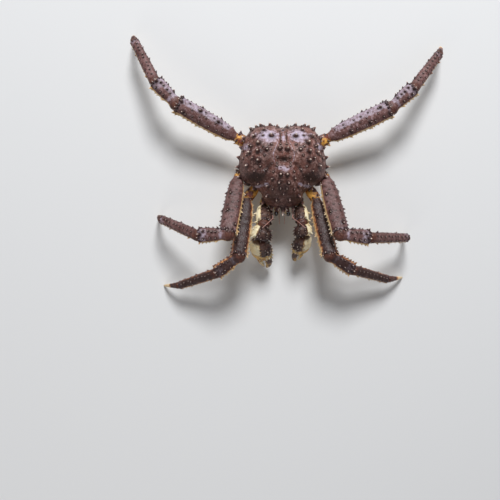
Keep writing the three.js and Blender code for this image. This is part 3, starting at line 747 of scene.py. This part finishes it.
LIP = [(0.5, 1.01), (1.0, 0.97), (1.1, 0.91), (0.5, 0.86), (-1.5, 0.83), (-5.0, 0.74)]  # mm on, girth
DACTYL_BOW = 0.004
FOLD_PITCH, FOLD_DEPTH = 0.0046, 0.0003  # of the skin round a segment's head
ROW_GAP, RIM_GAP, HAND_GAP, FINE_GAP = 0.0036, 0.003, 0.004, 0.006  # least distances of spines

# Rows of spines: angles round the limb (0 the front edge, 90 the top), count, stretch of the limb,
# heights at its two ends in millimetres, and lean towards the far end
LEG_ROWS = {
    "hip": [([80], 2, (0.25, 0.8), (4.5, 4), 0.2), ([10], 1, (0.3, 0.5), (5, 5), 0.2)],
    "merus": [([5, 175], 12, (0.08, 0.95), (2.4, 4.0), 0.35), ([60], 6, (0.14, 0.92), (2.4, 3.4), 0.2),
              ([90], 5, (0.2, 0.86), (2, 2.8), 0.2), ([122], 6, (0.1, 0.9), (2.4, 3.4), 0.2)],
    "carpus": [([8, 172], 5, (0.3, 0.95), (3, 4.6), 0.4), ([65], 3, (0.35, 0.9), (3, 4.5), 0.3),
               ([115], 4, (0.3, 0.9), (3.4, 5.4), 0.3)],
    "propodus": [([100], 9, (0.08, 0.96), (2.8, 3.4), 0.3), ([52, 150], 7, (0.12, 0.94), (1.8, 2.4), 0.2),
                 ([-20], 9, (0.08, 0.95), (2, 3), 0.3), ([200], 8, (0.1, 0.95), (1.8, 2.6), 0.3)],
    "dactyl": [([90], 2, (0.06, 0.24), (1.6, 2.2), 0.3), ([15, 165], 2, (0.06, 0.3), (1.6, 2), 0.3)],
}
RIM_TEETH = {  # count and least and greatest height in millimetres
    "hip": (4, 3.0, 4.5), "merus": (9, 4.5, 7.0), "carpus": (8, 3.2, 5.0), "propodus": (6, 2.0, 3.0),
}
STOUT_TOOTH = 0.005  # a claw's taller spine has a darker point
SKIN_SHARE = 0.94  # a joint's skin against the head it wraps
SKIN_RINGS, SKIN_SIDES, SKIN_FOLD, SKIN_FOLDS = 25, 32, 0.04, 14


def side_near(theta, angle, front):
    """The side of a loft near an angle counted from the front edge."""
    angle = angle + rng.normal(0, 3)
    turn = math.radians(angle if front > 0 else 180 - angle) % (2 * math.pi)
    return int(np.argmin(np.abs((theta[0] - turn + math.pi) % (2 * math.pi) - math.pi)))


def spine_row(grid, normal, share, theta, heading, front, angle, row):
    """A line of spines along a limb."""
    count, (low, high), (first, last), lean = row
    found = []
    for k in range(count):
        t = low + (high - low) * (k + 0.5 + rng.uniform(-0.18, 0.18)) / count
        i = int(np.argmin(np.abs(share - t)))
        j = side_near(theta, angle, front)
        height = (first + (last - first) * t) * rng.uniform(0.8, 1.15) * MM
        direction = normal[i, j] + heading * lean + rng.normal(0, 0.06, 3)
        found.append(standing(grid[i, j], direction, height))
    return found


def add_rows(spines, rows, gap, *surface):
    """Adds rows of spines, each clear of those before it."""
    for angles, *row in rows:
        for angle in angles:
            spines += clear_of(spine_row(*surface, angle, row), spines, gap)


def rim_row(grid, normal, theta, heading, front, count, low, high):
    """An arc of spines on a rim, pointing along the limb."""
    found = []
    for angle in np.linspace(-12, 192, count):
        j = side_near(theta, angle, front)
        height = rng.uniform(low, high) * MM
        direction = normal[-1, j] * 0.55 + heading + rng.normal(0, 0.08, 3)
        found.append(standing(grid[-1, j], direction, height))
    return found


# Painted sheen on the top of each leg's merus, and painted shade on the top of its segments past the hip.
MERUS_TOP_SHEEN = {"leg1": 0.0, "leg2": 0.14, "leg3": 0.3}
TOP_SHADE = {"leg1": 0.9, "leg2": 0.28, "leg3": 0.0}


def leg_masks(part, leg, share, theta, front):
    """Cream below, an orange border up the front edge, pink or dark red at the joints, pink along the
    rear edge, and painted shade and a painted sheen on the tops.
    """
    s = np.sin(theta)
    ahead = np.cos(theta) * front  # 1 on the front edge
    t = share[:, None]
    top = smoothstep(0.1, 0.9, s)
    tint_and_sheen = [0.6 * smoothstep(0.93, 0.99, t), 0.42 * smoothstep(-0.7, -0.95, ahead)]
    masks = {"pale": np.maximum(smoothstep(0.12, -0.5, s - 0.8 * ahead), smoothstep(-0.15, -0.6, s)),
             "blood": smoothstep(0.16, 0.0, t) * (part != "hip")}
    if part == "hip":
        masks["warm"] = smoothstep(0.1, 0.5, t) * (0.72 + 0.3 * ahead)
    else:
        # painted shade on the top
        masks["dark"] = TOP_SHADE[leg] * top
    if part == "merus":
        masks["blood"] = 0.5 * masks["blood"] + 0.45 * smoothstep(0.94, 1.0, t)
        masks["warm"] = 0.75 * smoothstep(0.05, 0.0, t)
        # painted sheen on the top
        tint_and_sheen.append(top * MERUS_TOP_SHEEN[leg])
    if leg == "leg3" and part in ("merus", "carpus"):
        # On the hind legs, painted sheen on the rear half of the top and painted shade on its front half.
        behind = smoothstep(0.1, -0.3, ahead)
        tint_and_sheen.append(0.74 * (behind * smoothstep(0.0, 0.45, s) * smoothstep(0.04, 0.2, t)))
        masks["dark"] = 0.4 * smoothstep(-0.1, 0.5, ahead) * top
    if leg == "leg1" and part != "hip":
        masks["pale"] = np.maximum(masks["pale"], 0.5 * smoothstep(0.45, 0.9, np.abs(ahead)))
    if part == "carpus":
        # painted highlights on the top: a knob near the joint, and the far end
        knob = np.exp(-((t - 0.24) / 0.09) ** 2)
        tint_and_sheen.append(0.72 * (knob + smoothstep(0.5, 0.85, t)) * top)
    if part == "propodus":
        tint_and_sheen.append(0.5 * smoothstep(0.7, 1.0, t))
        masks["pale"] = masks["pale"] * 0.75
    if part == "dactyl":
        masks["blood"] = smoothstep(0.45, 0.15, t)
        masks["pale"] = np.maximum(masks["pale"] * 0.6, smoothstep(0.3, 0.6, t))
    for value in tint_and_sheen:
        masks["tint_and_sheen"] = np.maximum(masks.get("tint_and_sheen", 0.0), value)
    return masks


def claw_masks(part, leg, share, theta, front):
    """Cream along the outer edge, dark brown on the rest, golden at the hip, and a painted sheen on top
    at the far end.
    """
    s, inner, t = np.sin(theta), np.cos(theta) * front, share[:, None]
    return {
        "pale": smoothstep(0.5, -0.1, s + 2.2 * inner) * smoothstep(0.02, 0.2, t),
        "warm": 0.7 * smoothstep(0.1, 0.5, t) * (part == "hip"),
        "blood": smoothstep(0.2, 0.02, t) * (part != "hip"),
        # painted sheen on the top at the far end
        "tint_and_sheen": 0.6 * smoothstep(0.9, 0.98, t) * smoothstep(-0.2, 0.5, s),
        "dark": 0.4 * smoothstep(-0.6, 0.6, inner),
    }


# What the segments of one sort of limb share
Kit = namedtuple("Kit", "shapes rows teeth masks slot")


def segment_rings(part, length, half, head, shapes):
    """Where a segment's rings lie, as lengths and as shares, and their half widths and heights."""
    back = 0.0 if part == "dactyl" else RIM_SHARE * half[0] * HEAD_SHARE
    at = np.linspace(0, length - back, max(14, int(length / STEP)))
    cap = np.ones(len(at))
    if head is not None:
        behind = np.linspace(0.12, math.pi / 2, HEAD_RINGS)[:-1]
        at = np.concatenate([-head[0] * np.cos(behind), at])
        cap = np.concatenate([np.sin(behind), cap])
    share = np.clip(at / (length - back), 0, 1)
    sizes = half * profile(shapes[part], share)[:, None]
    if head is not None:
        sizes = head + (sizes - head) * smoothstep(0, min(0.45, HEAD_REACH / length), share)[:, None]
    sizes = sizes * cap[:, None]
    if part != "dactyl":
        on, girth = np.array(LIP).T
        at = np.concatenate([at, at[-1] + on * MM])
        sizes = np.concatenate([sizes, sizes[-1] * girth[:, None]])
    return at, share, sizes


def segment_spines(name, part, grid, theta, share, heading, kit, front):
    """The solid's own spines, rows of smaller ones between them, and the teeth of the rim."""
    body, normal = grid[:len(share)], grid_normals(grid)[:len(share)]
    spines = seated(solids[name].spines(), body)
    add_rows(spines, kit.rows.get(part, []), ROW_GAP, body, normal, share, theta, heading, front)
    if part in kit.teeth:
        teeth = rim_row(body, normal, theta, heading, front, *kit.teeth[part])
        spines += clear_of(teeth, spines, RIM_GAP)
    return spines


def limb_segment(name, part, start, end, half, head, kit, front, leg):
    """One segment: a rounded head in the joint behind, a body, and a toothed rim round the next."""
    length = np.linalg.norm(end - start)
    heading = (end - start) / length
    at, share, sizes = segment_rings(part, length, half, head, kit.shapes)
    lift = upright_to(heading)
    t = np.clip(at / length, 0, 1)
    sag = DACTYL_BOW * 4 * (part == "dactyl")
    points = start + heading * at[:, None] + lift * (sag * t * (1 - t))[:, None]
    tangent = unit(heading + lift * (sag * (1 - 2 * t) / length * (at > 0))[:, None])
    grid, theta = Path(points, lift, tangent).loft(*sizes.T, SIDES[part])
    folds = smoothstep(0.2, 0.08, t) * np.sin(at / FOLD_PITCH * 2 * math.pi) * (head is not None)
    grid = grid + grid_normals(grid) * (folds * FOLD_DEPTH)[:, None, None]

    spines = segment_spines(name, part, grid, theta, share, heading, kit, front)
    root = np.zeros(theta.shape)
    grid = mounds(grid, grid_normals(grid), spines, root, swell=0.14, stain=1.7)
    if part == "dactyl":
        grid[..., 2] = np.maximum(grid[..., 2], 0)
    along = np.concatenate([share, np.ones(len(at) - len(share))])
    masks = kit.masks(part, leg, along, theta, front)
    # painted shade inside the rim's lip, where the next segment's head sits
    cup = smoothstep(len(share) + 1, len(share) + 4, np.arange(len(at)))[:, None]
    masks["dark"] = np.maximum(masks.get("dark", 0.0), cup)
    root *= 1 - FAIR_ROOT * masks["pale"]
    piece = Piece()
    piece.add(grid, grain=grain_along(at, theta, half[0]) + start, root=root, **masks)
    for foot, tip in spines:
        stout = kit.slot == "claw" and np.linalg.norm(tip - foot) > STOUT_TOOTH
        add_spine(piece, foot, tip, white=0.3 if stout else 1.0, fair=mask_at(grid, masks["pale"], foot))
    piece.object(f"{name}_shell", [name], kit.slot)


def membrane(name, at, heading, size):
    """The folded skin that shows in a joint."""
    turns = np.linspace(-1, 1, SKIN_RINGS)
    path = Path(at + heading * (turns * size[0])[:, None])
    bulge = np.sqrt(np.clip(1 - turns ** 2, 0.02, 1)) * (1 + SKIN_FOLD * np.sin(turns * SKIN_FOLDS))
    grid, _ = path.loft(size[0] * bulge, size[1] * bulge, SKIN_SIDES, square=2.0)
    single(name, grid, [], "limb_shell", "membrane")


def build_limb(stem, parts, ends, halves, kit, front, leg):
    """A chain of segments, each with its head in the rim of the one before."""
    head = None
    for i, part in enumerate(parts):
        start, end = ends[i], ends[i + 1]
        half = np.array(halves[part])
        limb_segment(f"{stem}_{part}", part, start, end, half, head, kit, front, leg)
        if i:
            behind = unit(start - ends[i - 1])
            membrane(f"{stem}_skin_{i}", start - behind * head[0] * 0.25, behind, head * SKIN_SHARE)
        head = half * kit.shapes[part][-1][1] * HEAD_SHARE


def joints_of(stem, parts):
    return [joint_between(f"{stem}_{a}", f"{stem}_{b}") for a, b in zip(parts, parts[1:])]


def build_leg(leg, side):
    stem = f"{leg}_{side}"
    parts = list(LEG_HALVES)
    joints = joints_of(stem, parts)
    toe = solids[f"{stem}_dactyl"].points
    toe = toe[toe[:, 2] < toe[:, 2].min() + TOE_FLAT].mean(axis=0)
    ends = [far_end(f"{stem}_hip", joints[0]), *joints, toe]
    halves = {part: np.array(half) * LEG_SCALES[leg] for part, half in LEG_HALVES.items()}
    kit = Kit(LEG_SHAPES, LEG_ROWS, RIM_TEETH, leg_masks, "limb_shell")
    build_limb(stem, parts, ends, halves, kit, -1.0 if side == "left" else 1.0, leg)


CLAW_HALVES = {"hip": (0.010, 0.009), "merus": (0.016, 0.014), "carpus": (0.020, 0.016),
               "palm": (0.018, 0.024), "finger": (0.0075, 0.0085)}
CLAW_SHAPES = {
    "hip": LEG_SHAPES["hip"],
    "merus": [(0, 0.55), (0.25, 0.84), (0.7, 1.0), (0.92, 0.98), (1, 0.9)],
    "carpus": [(0, 0.62), (0.15, 0.66), (0.45, 0.94), (0.75, 1.0), (0.92, 0.96), (1, 0.86)],
    "palm": [(0, 0.4), (0.05, 0.62), (0.25, 0.9), (0.6, 1.0), (0.85, 0.94), (0.96, 0.8), (1, 0.6)],
    "finger": [(0, 0.7), (0.05, 0.98), (0.35, 0.86), (0.75, 0.56), (0.95, 0.3), (1, 0.14)],
}
CLAW_ROWS = {
    "merus": [([12], 5, (0.2, 0.95), (5.5, 8), 0.3), ([60], 3, (0.3, 0.9), (3, 4.5), 0.3),
              ([100], 2, (0.4, 0.9), (2.5, 3.5), 0.3)],
    "carpus": [([8], 4, (0.25, 0.95), (6.5, 9), 0.35), ([55], 3, (0.35, 0.9), (3.5, 5), 0.3),
               ([95], 3, (0.35, 0.9), (3, 4), 0.3)],
    "palm": [([90], 5, (0.15, 0.95), (5, 6.5), 0.3), ([50, 130], 5, (0.2, 0.9), (3, 4.5), 0.3)],
}
CLAW_TEETH = {"hip": (3, 3.0, 4.0), "merus": (7, 3.5, 5.5), "carpus": (8, 3.5, 5.5)}
CLAW_SCALES = {"left": 0.88, "right": 1.0}
CLAW_ROLL = math.radians(48)
HAND_STEPS = 60
PALM_LENGTH, FINGER_LENGTH, BITING_TOOTH = 0.054, 0.042, 0.003
FINE_SPINES = (0.0016, 0.003)  # heights of the small spines of a hand


def build_claw(side):
    stem = f"claw_{side}"
    scale = CLAW_SCALES[side]
    parts = ["hip", "merus", "carpus"]
    joints = joints_of(stem, [*parts, "palm"])
    ends = [far_end(f"{stem}_hip", joints[0]), *joints]
    halves = {part: np.array(CLAW_HALVES[part]) * scale for part in parts}
    kit = Kit(CLAW_SHAPES, CLAW_ROWS, CLAW_TEETH, claw_masks, "claw")
    build_limb(stem, parts, ends, halves, kit, -1.0 if side == "left" else 1.0, stem)
    build_hand(stem, joints[-1], 1.0 if side == "left" else -1.0, scale)


def build_hand(stem, wrist, hand, scale):
    """The palm with its fixed finger, and the moving finger above it."""
    heading = unit(far_end(f"{stem}_palm", wrist, 5) - wrist)
    upright = upright_to(heading)
    across = np.cross(upright, heading)
    lift = upright * math.cos(CLAW_ROLL) - across * math.sin(CLAW_ROLL) * hand

    def at(along, high):
        return wrist + heading * along * scale + lift * high * scale

    def finger(count, *stops):
        return Path(bow(*(at(*stop) for stop in stops), count), lift)

    tip, middle = PALM_LENGTH + FINGER_LENGTH, PALM_LENGTH + FINGER_LENGTH * 0.5
    palm = Path(np.linspace(at(0, 0), at(PALM_LENGTH, 0), HAND_STEPS), lift)
    fixed = finger(HAND_STEPS, (PALM_LENGTH * 0.6, -0.010), (middle, -0.015), (tip, -0.0024))
    moving = finger(HAND_STEPS - 4, (PALM_LENGTH - 0.004, 0.010), (middle, 0.019), (tip, 0.003))
    piece = Piece()
    hand_part(piece, palm, "palm", scale, hand, small=16, own=solids[f"{stem}_palm"].spines())
    hand_part(piece, fixed, "finger", scale, hand)
    teeth_along(piece, fixed, lift, 7, scale)
    piece.object(f"{stem}_palm_shell", [f"{stem}_palm"], "claw")
    piece = Piece()
    hand_part(piece, moving, "finger", scale, hand, small=6)
    teeth_along(piece, moving, -lift, 6, scale)
    piece.object(f"{stem}_finger_shell", [f"{stem}_finger"], "claw")


def teeth_along(piece, path, inward, count, scale):
    """Blunt white teeth on a finger's biting edge."""
    half = CLAW_HALVES["finger"][1] * scale
    for t in np.linspace(0.4, 0.88, count):
        k = int(t * (len(path.points) - 1))
        foot = path.points[k] + inward * half * float(profile(CLAW_SHAPES["finger"], t)) * 0.8
        add_spine(piece, foot, foot + inward * BITING_TOOTH * scale, fair=1.0)


def hand_part(piece, path, part, scale, hand, small=0, own=()):
    """The palm or a finger, with the solid's own spines, rows of others and scattered small ones."""
    half = np.array(CLAW_HALVES[part]) * scale
    share = path.length / path.length[-1]
    girth = profile(CLAW_SHAPES[part], share)
    grid, theta = path.loft(half[0] * girth, half[1] * girth, SIDES[part], square=2.1)
    normal = grid_normals(grid)
    spines = seated(own, grid)
    add_rows(spines, CLAW_ROWS.get(part, []), HAND_GAP, grid, normal, share, theta, path.tangent[0], 1.0)
    if small:
        inner = ((share > 0.1) & (share < 0.9))[:, None]
        spines += scatter(grid, normal, spines, small, FINE_SPINES, inner, FINE_GAP)
    root = np.zeros(theta.shape)
    grid = mounds(grid, normal, spines, root, swell=0.14)
    s, outer, t = np.sin(theta), np.cos(theta) * hand, share[:, None]
    if part == "palm":
        aside = outer * math.cos(CLAW_ROLL) - s * math.sin(CLAW_ROLL)
        upward = s * math.cos(CLAW_ROLL) + outer * math.sin(CLAW_ROLL)
        far = smoothstep(0.5, 0.75, t)
        masks = {"warm": np.maximum(0.85 * far, 0.8 * smoothstep(0.1, -0.5, upward)),
                 "pale": smoothstep(0.0, 0.5, aside) * (0.9 - 0.5 * far),
                 "dark": 0.5 * smoothstep(0.2, -0.2, aside) * (1 - far),
                 "blood": smoothstep(0.14, 0.0, t)}
    else:
        masks = {"warm": 0.85 * smoothstep(0.1, 0.5, t) * (1 - 0.4 * smoothstep(-0.1, 0.7, s)),
                 "pale": smoothstep(0.55, 0.8, t) * 0.9,
                 "dark": 0.9 * smoothstep(0.9, 0.97, t)}
    fair = np.maximum(masks["pale"], masks["warm"])
    grain = grain_along(path.length, theta, half[0])
    piece.add(grid, grain=grain, root=root * (1 - FAIR_ROOT * fair), **masks)
    for foot, tip in spines:
        add_spine(piece, foot, tip, white=0.8, fair=mask_at(grid, fair, foot))


# Feelers, mouth limbs and eyes

FEELERS = {  # points on the left in millimetres, half width, and its shares at the tip and the lash
    "antenna": ([(21, -66, 65), (22, -93, 69), (20, -104, 96), (28, -113, 121), (42, -126, 134)],
                0.0032, 0.12, 0.3),
    "antennule": ([(6, -74, 63), (6, -92, 64), (5.5, -104, 60), (5, -115, 60)], 0.0022, 0.2, 0.3),
    "maxilliped": ([(9, -62, 52), (11, -78, 52), (10, -88, 44), (6, -88, 32)], 0.006, 0.35, 0.85),
}
FEELER_STEPS, FEELER_SIDES, LASH_RINGS = 120, 18, 260
FEELER_JOINTS = np.array([0.3, 0.55, 0.8])  # along a feeler's stem
EYE_RINGS, EYE_SIDES, STALK_RINGS, STALK_SIDES = 40, 48, 24, 32
STALK_HALVES = (0.0027, 0.0036)  # at the foot and at the eye


def build_feeler(kind, side):
    points, half, tip, thin = FEELERS[kind]
    sign = 1 if side == "left" else -1
    route = np.array(points, float) * [sign * MM, MM, MM] + centre
    path = Path(through(route, FEELER_STEPS), (0.3, 0.4, 1))
    share = path.length / path.length[-1]
    root = 1 / (len(points) - 1)
    girth = np.interp(share, [0, root * 0.9, root + 0.06, 1], [1, 0.92, thin, tip]) * half
    rings = 1 + 0.08 * np.sin(share * LASH_RINGS) * (share > root)
    joints = 1 - 0.25 * np.exp(-((share[:, None] - FEELER_JOINTS * root) / 0.012) ** 2).sum(axis=1)
    grid, _ = path.loft(girth * rings * joints, girth * rings * joints, FEELER_SIDES, square=2.0)
    mouth = kind == "maxilliped"
    warm = 0.7 * mouth * np.abs(np.sin(share * 3 * math.pi))[:, None] ** 4
    single(f"{kind}_{side}_shell", grid, [f"{kind}_{side}"], "feeler", pale=0.9 * mouth, warm=warm)


def build_eye(side):
    low, high = (np.array(c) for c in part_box(f"eye_{side}"))
    middle, radii = (low + high) / 2, (high - low) / 2
    polar = np.linspace(0.05, math.pi - 0.05, EYE_RINGS)[:, None]
    theta = np.linspace(0, 2 * math.pi, EYE_SIDES, endpoint=False)
    ball = [np.sin(polar) * np.cos(theta), np.sin(polar) * np.sin(theta), np.cos(polar) + 0 * theta]
    single(f"eye_{side}_ball", middle + radii * np.stack(ball, axis=-1), [f"eye_{side}"], "eye")
    path = Path(np.linspace(far_end(f"eyestalk_{side}", middle), middle, STALK_RINGS))
    girth = np.linspace(*STALK_HALVES, STALK_RINGS)
    grid, _ = path.loft(girth, girth, STALK_SIDES, square=2.0)
    single(f"eyestalk_{side}_shell", grid, [f"eyestalk_{side}"], "limb_shell", warm=0.3)


# The underside

GROOVE_WIDTH, GROOVE_DEPTH = 0.0014, 0.002
REAR_COLOUR = (0.036, 0.058)  # between these heights the abdomen's root turns plum
ABDOMEN_SPLIT = 0.42  # where an abdomen plate's side part starts, as a share of its half width
ROW = 0.002  # the strips in which a plate's width is measured
REAR_SPINES = [  # on the abdomen's first plate: millimetres across and above the floor, and height
    (0, 71, 3.5), (11, 71, 3.5), (22, 71, 4), (33, 70, 4), (6, 58, 4), (17, 58, 4.5), (28, 58, 4.5),
    (38, 57, 4.5),
]
KNOBS, VOXEL, ROUNDS = 40, 0.0012, 12  # small knobs on a plate, its finer mesh, and its smoothing


def plate_grooves(x, y, name):
    """How deep in a groove between the plates of the underside each point lies, 0 to 1."""
    if name == "thorax":
        hips = [solids[f"{limb}_left_hip"].points.mean(axis=0) - centre for limb in ("claw", *LEG_SCALES)]
        ends = [(a + b) / 2 for a, b in zip(hips, hips[1:])]
        middle = np.mean([end[1] for end in ends])
        gaps = [to_segment(x, y, (0.003, (middle + end[1]) / 2), end[:2]) for end in ends]
        return np.exp(-(np.min(gaps, axis=0) / GROOVE_WIDTH) ** 2)
    strip = np.round((y - y.min()) / ROW).astype(int)
    half = np.zeros(strip.max() + 1)
    np.maximum.at(half, strip, x)
    split = np.exp(-((x - ABDOMEN_SPLIT * half[strip]) / GROOVE_WIDTH) ** 2)
    return split * (name != "telson")


def read_vertices(mesh):
    """The places and normals of a mesh's corners."""
    places, normals = np.zeros((2, len(mesh.vertices) * 3))
    mesh.vertices.foreach_get("co", places)
    mesh.vertices.foreach_get("normal", normals)
    return places.reshape(-1, 3), normals.reshape(-1, 3)


def rear_spines(mesh):
    """Short spines on the rear face of the abdomen's first plate."""
    points, normals = read_vertices(mesh)
    piece = Piece()
    for across, up, tall in REAR_SPINES:
        for sign in twins(across):
            gap = np.hypot(points[:, 0] - centre[0] - sign * across * MM, points[:, 2] - up * MM)
            k = np.argmin(gap - points[:, 1])
            spine = standing(points[k], normals[k] + rng.normal(0, 0.1, 3), tall * MM)
            add_spine(piece, *spine, girth=1.3)
    piece.object("abdomen_spines", [], "underside", "back_shell")


def sculpt(mesh, name):
    """Cuts the grooves of the underside, raises small knobs on it and marks both."""
    points, normals = read_vertices(mesh)
    below = smoothstep(0.0, -0.6, normals[:, 2])
    x, y = np.abs(points[:, 0] - centre[0]), points[:, 1] - centre[1]
    groove = plate_grooves(x, y, name) * below
    rise = np.zeros(len(points))
    for middle in points[rng.choice(len(points), KNOBS)]:
        reach = rng.uniform(0.0016, 0.0036)
        gap = np.linalg.norm(points - middle, axis=1)
        rise = np.maximum(rise, np.exp(-(gap / reach) ** 2) * reach * 0.45)
    points += normals * ((rise - groove * GROOVE_DEPTH) * below)[:, None]
    mesh.vertices.foreach_set("co", points.reshape(-1))
    warm = 0.36 + 0.24 * smoothstep(0.02, 0.06, x) + 0.2 * rise / rise.max()
    blood = (name == "abdomen_1") * smoothstep(*REAR_COLOUR, points[:, 2])
    paint(mesh, {"dark": 0.4 * groove, "warm": warm, "blood": blood}, np.zeros(points.shape))
    mesh.update()


def softened(name, slot):
    """A finer, rounded and sculpted copy of a solid."""
    piece = placed(f"{name}_shell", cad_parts[name].data.copy())
    remesh = piece.modifiers.new("fine", "REMESH")
    remesh.mode, remesh.voxel_size = "VOXEL", VOXEL
    smooth = piece.modifiers.new("soft", "SMOOTH")
    smooth.factor, smooth.iterations = 0.5, ROUNDS
    graph = bpy.context.evaluated_depsgraph_get()
    mesh = bpy.data.meshes.new_from_object(piece.evaluated_get(graph))
    piece.modifiers.clear()
    piece.data = mesh
    mesh.shade_smooth()
    sculpt(mesh, name)
    mesh.materials.clear()
    mesh.materials.append(materials[slot])
    enlist(piece, [name], slot)
    return mesh


build_carapace()
for side in ("left", "right"):
    for leg in LEG_SCALES:
        build_leg(leg, side)
    build_claw(side)
    build_eye(side)
    for kind in FEELERS:
        build_feeler(kind, side)
for name in ("thorax", "abdomen_2", "abdomen_3", "telson"):
    softened(name, "underside")
rear_spines(softened("abdomen_1", "underside"))

# Floor, lights and camera

FLOOR_HALF = 8.0
LIGHTS_AIM = Vector((0, 0, 0.08))


def softbox(name, place, size, watts, colour):
    light = bpy.data.lights.new(name, "AREA")
    light.shape, light.size, light.energy, light.color = "DISK", size, watts, colour
    lamp = placed(name, light)
    lamp.location = place
    lamp.rotation_euler = (LIGHTS_AIM - Vector(place)).to_track_quat("-Z", "Y").to_euler()


floor = bpy.data.meshes.new("floor")
corners = [(x * FLOOR_HALF, y * FLOOR_HALF, 0) for x, y in ((-1, -1), (1, -1), (1, 1), (-1, 1))]
floor.from_pydata(corners, [], [(0, 1, 2, 3)])
floor.materials.append(Nodes("floor").shade({
    "Base Color": (0.67, 0.665, 0.655), "Roughness": 0.95, "Specular IOR Level": 0.1}))
placed("floor", floor)

softbox("sky", (0.27, 3.0, 3.3), 1.7, 245, (0.95, 0.97, 1.0))
softbox("front fill", (-0.9, -1.8, 1.6), 1.4, 8, (1.0, 0.97, 0.93))
world = bpy.data.worlds.new("room")
world.use_nodes = True
air = world.node_tree.nodes["Background"].inputs
air["Color"].default_value = (0.9, 0.93, 1.0, 1)
air["Strength"].default_value = 0.25
bpy.context.scene.world = world
bpy.context.scene.view_settings.view_transform = "Standard"

lens = bpy.data.cameras.new("camera")
lens.sensor_width = SENSOR_MM
lens.lens = SENSOR_MM * CAMERA_RISE / (IMAGE_PX * METRES_PER_PX)
camera = placed("camera", lens)
camera.location = (
    centre[0] - (CARAPACE_PX[0] - IMAGE_PX / 2) * METRES_PER_PX,
    centre[1] - (IMAGE_PX / 2 - CARAPACE_PX[1]) * METRES_PER_PX,
    rim_height + CAMERA_RISE,
)
bpy.context.scene.camera = camera
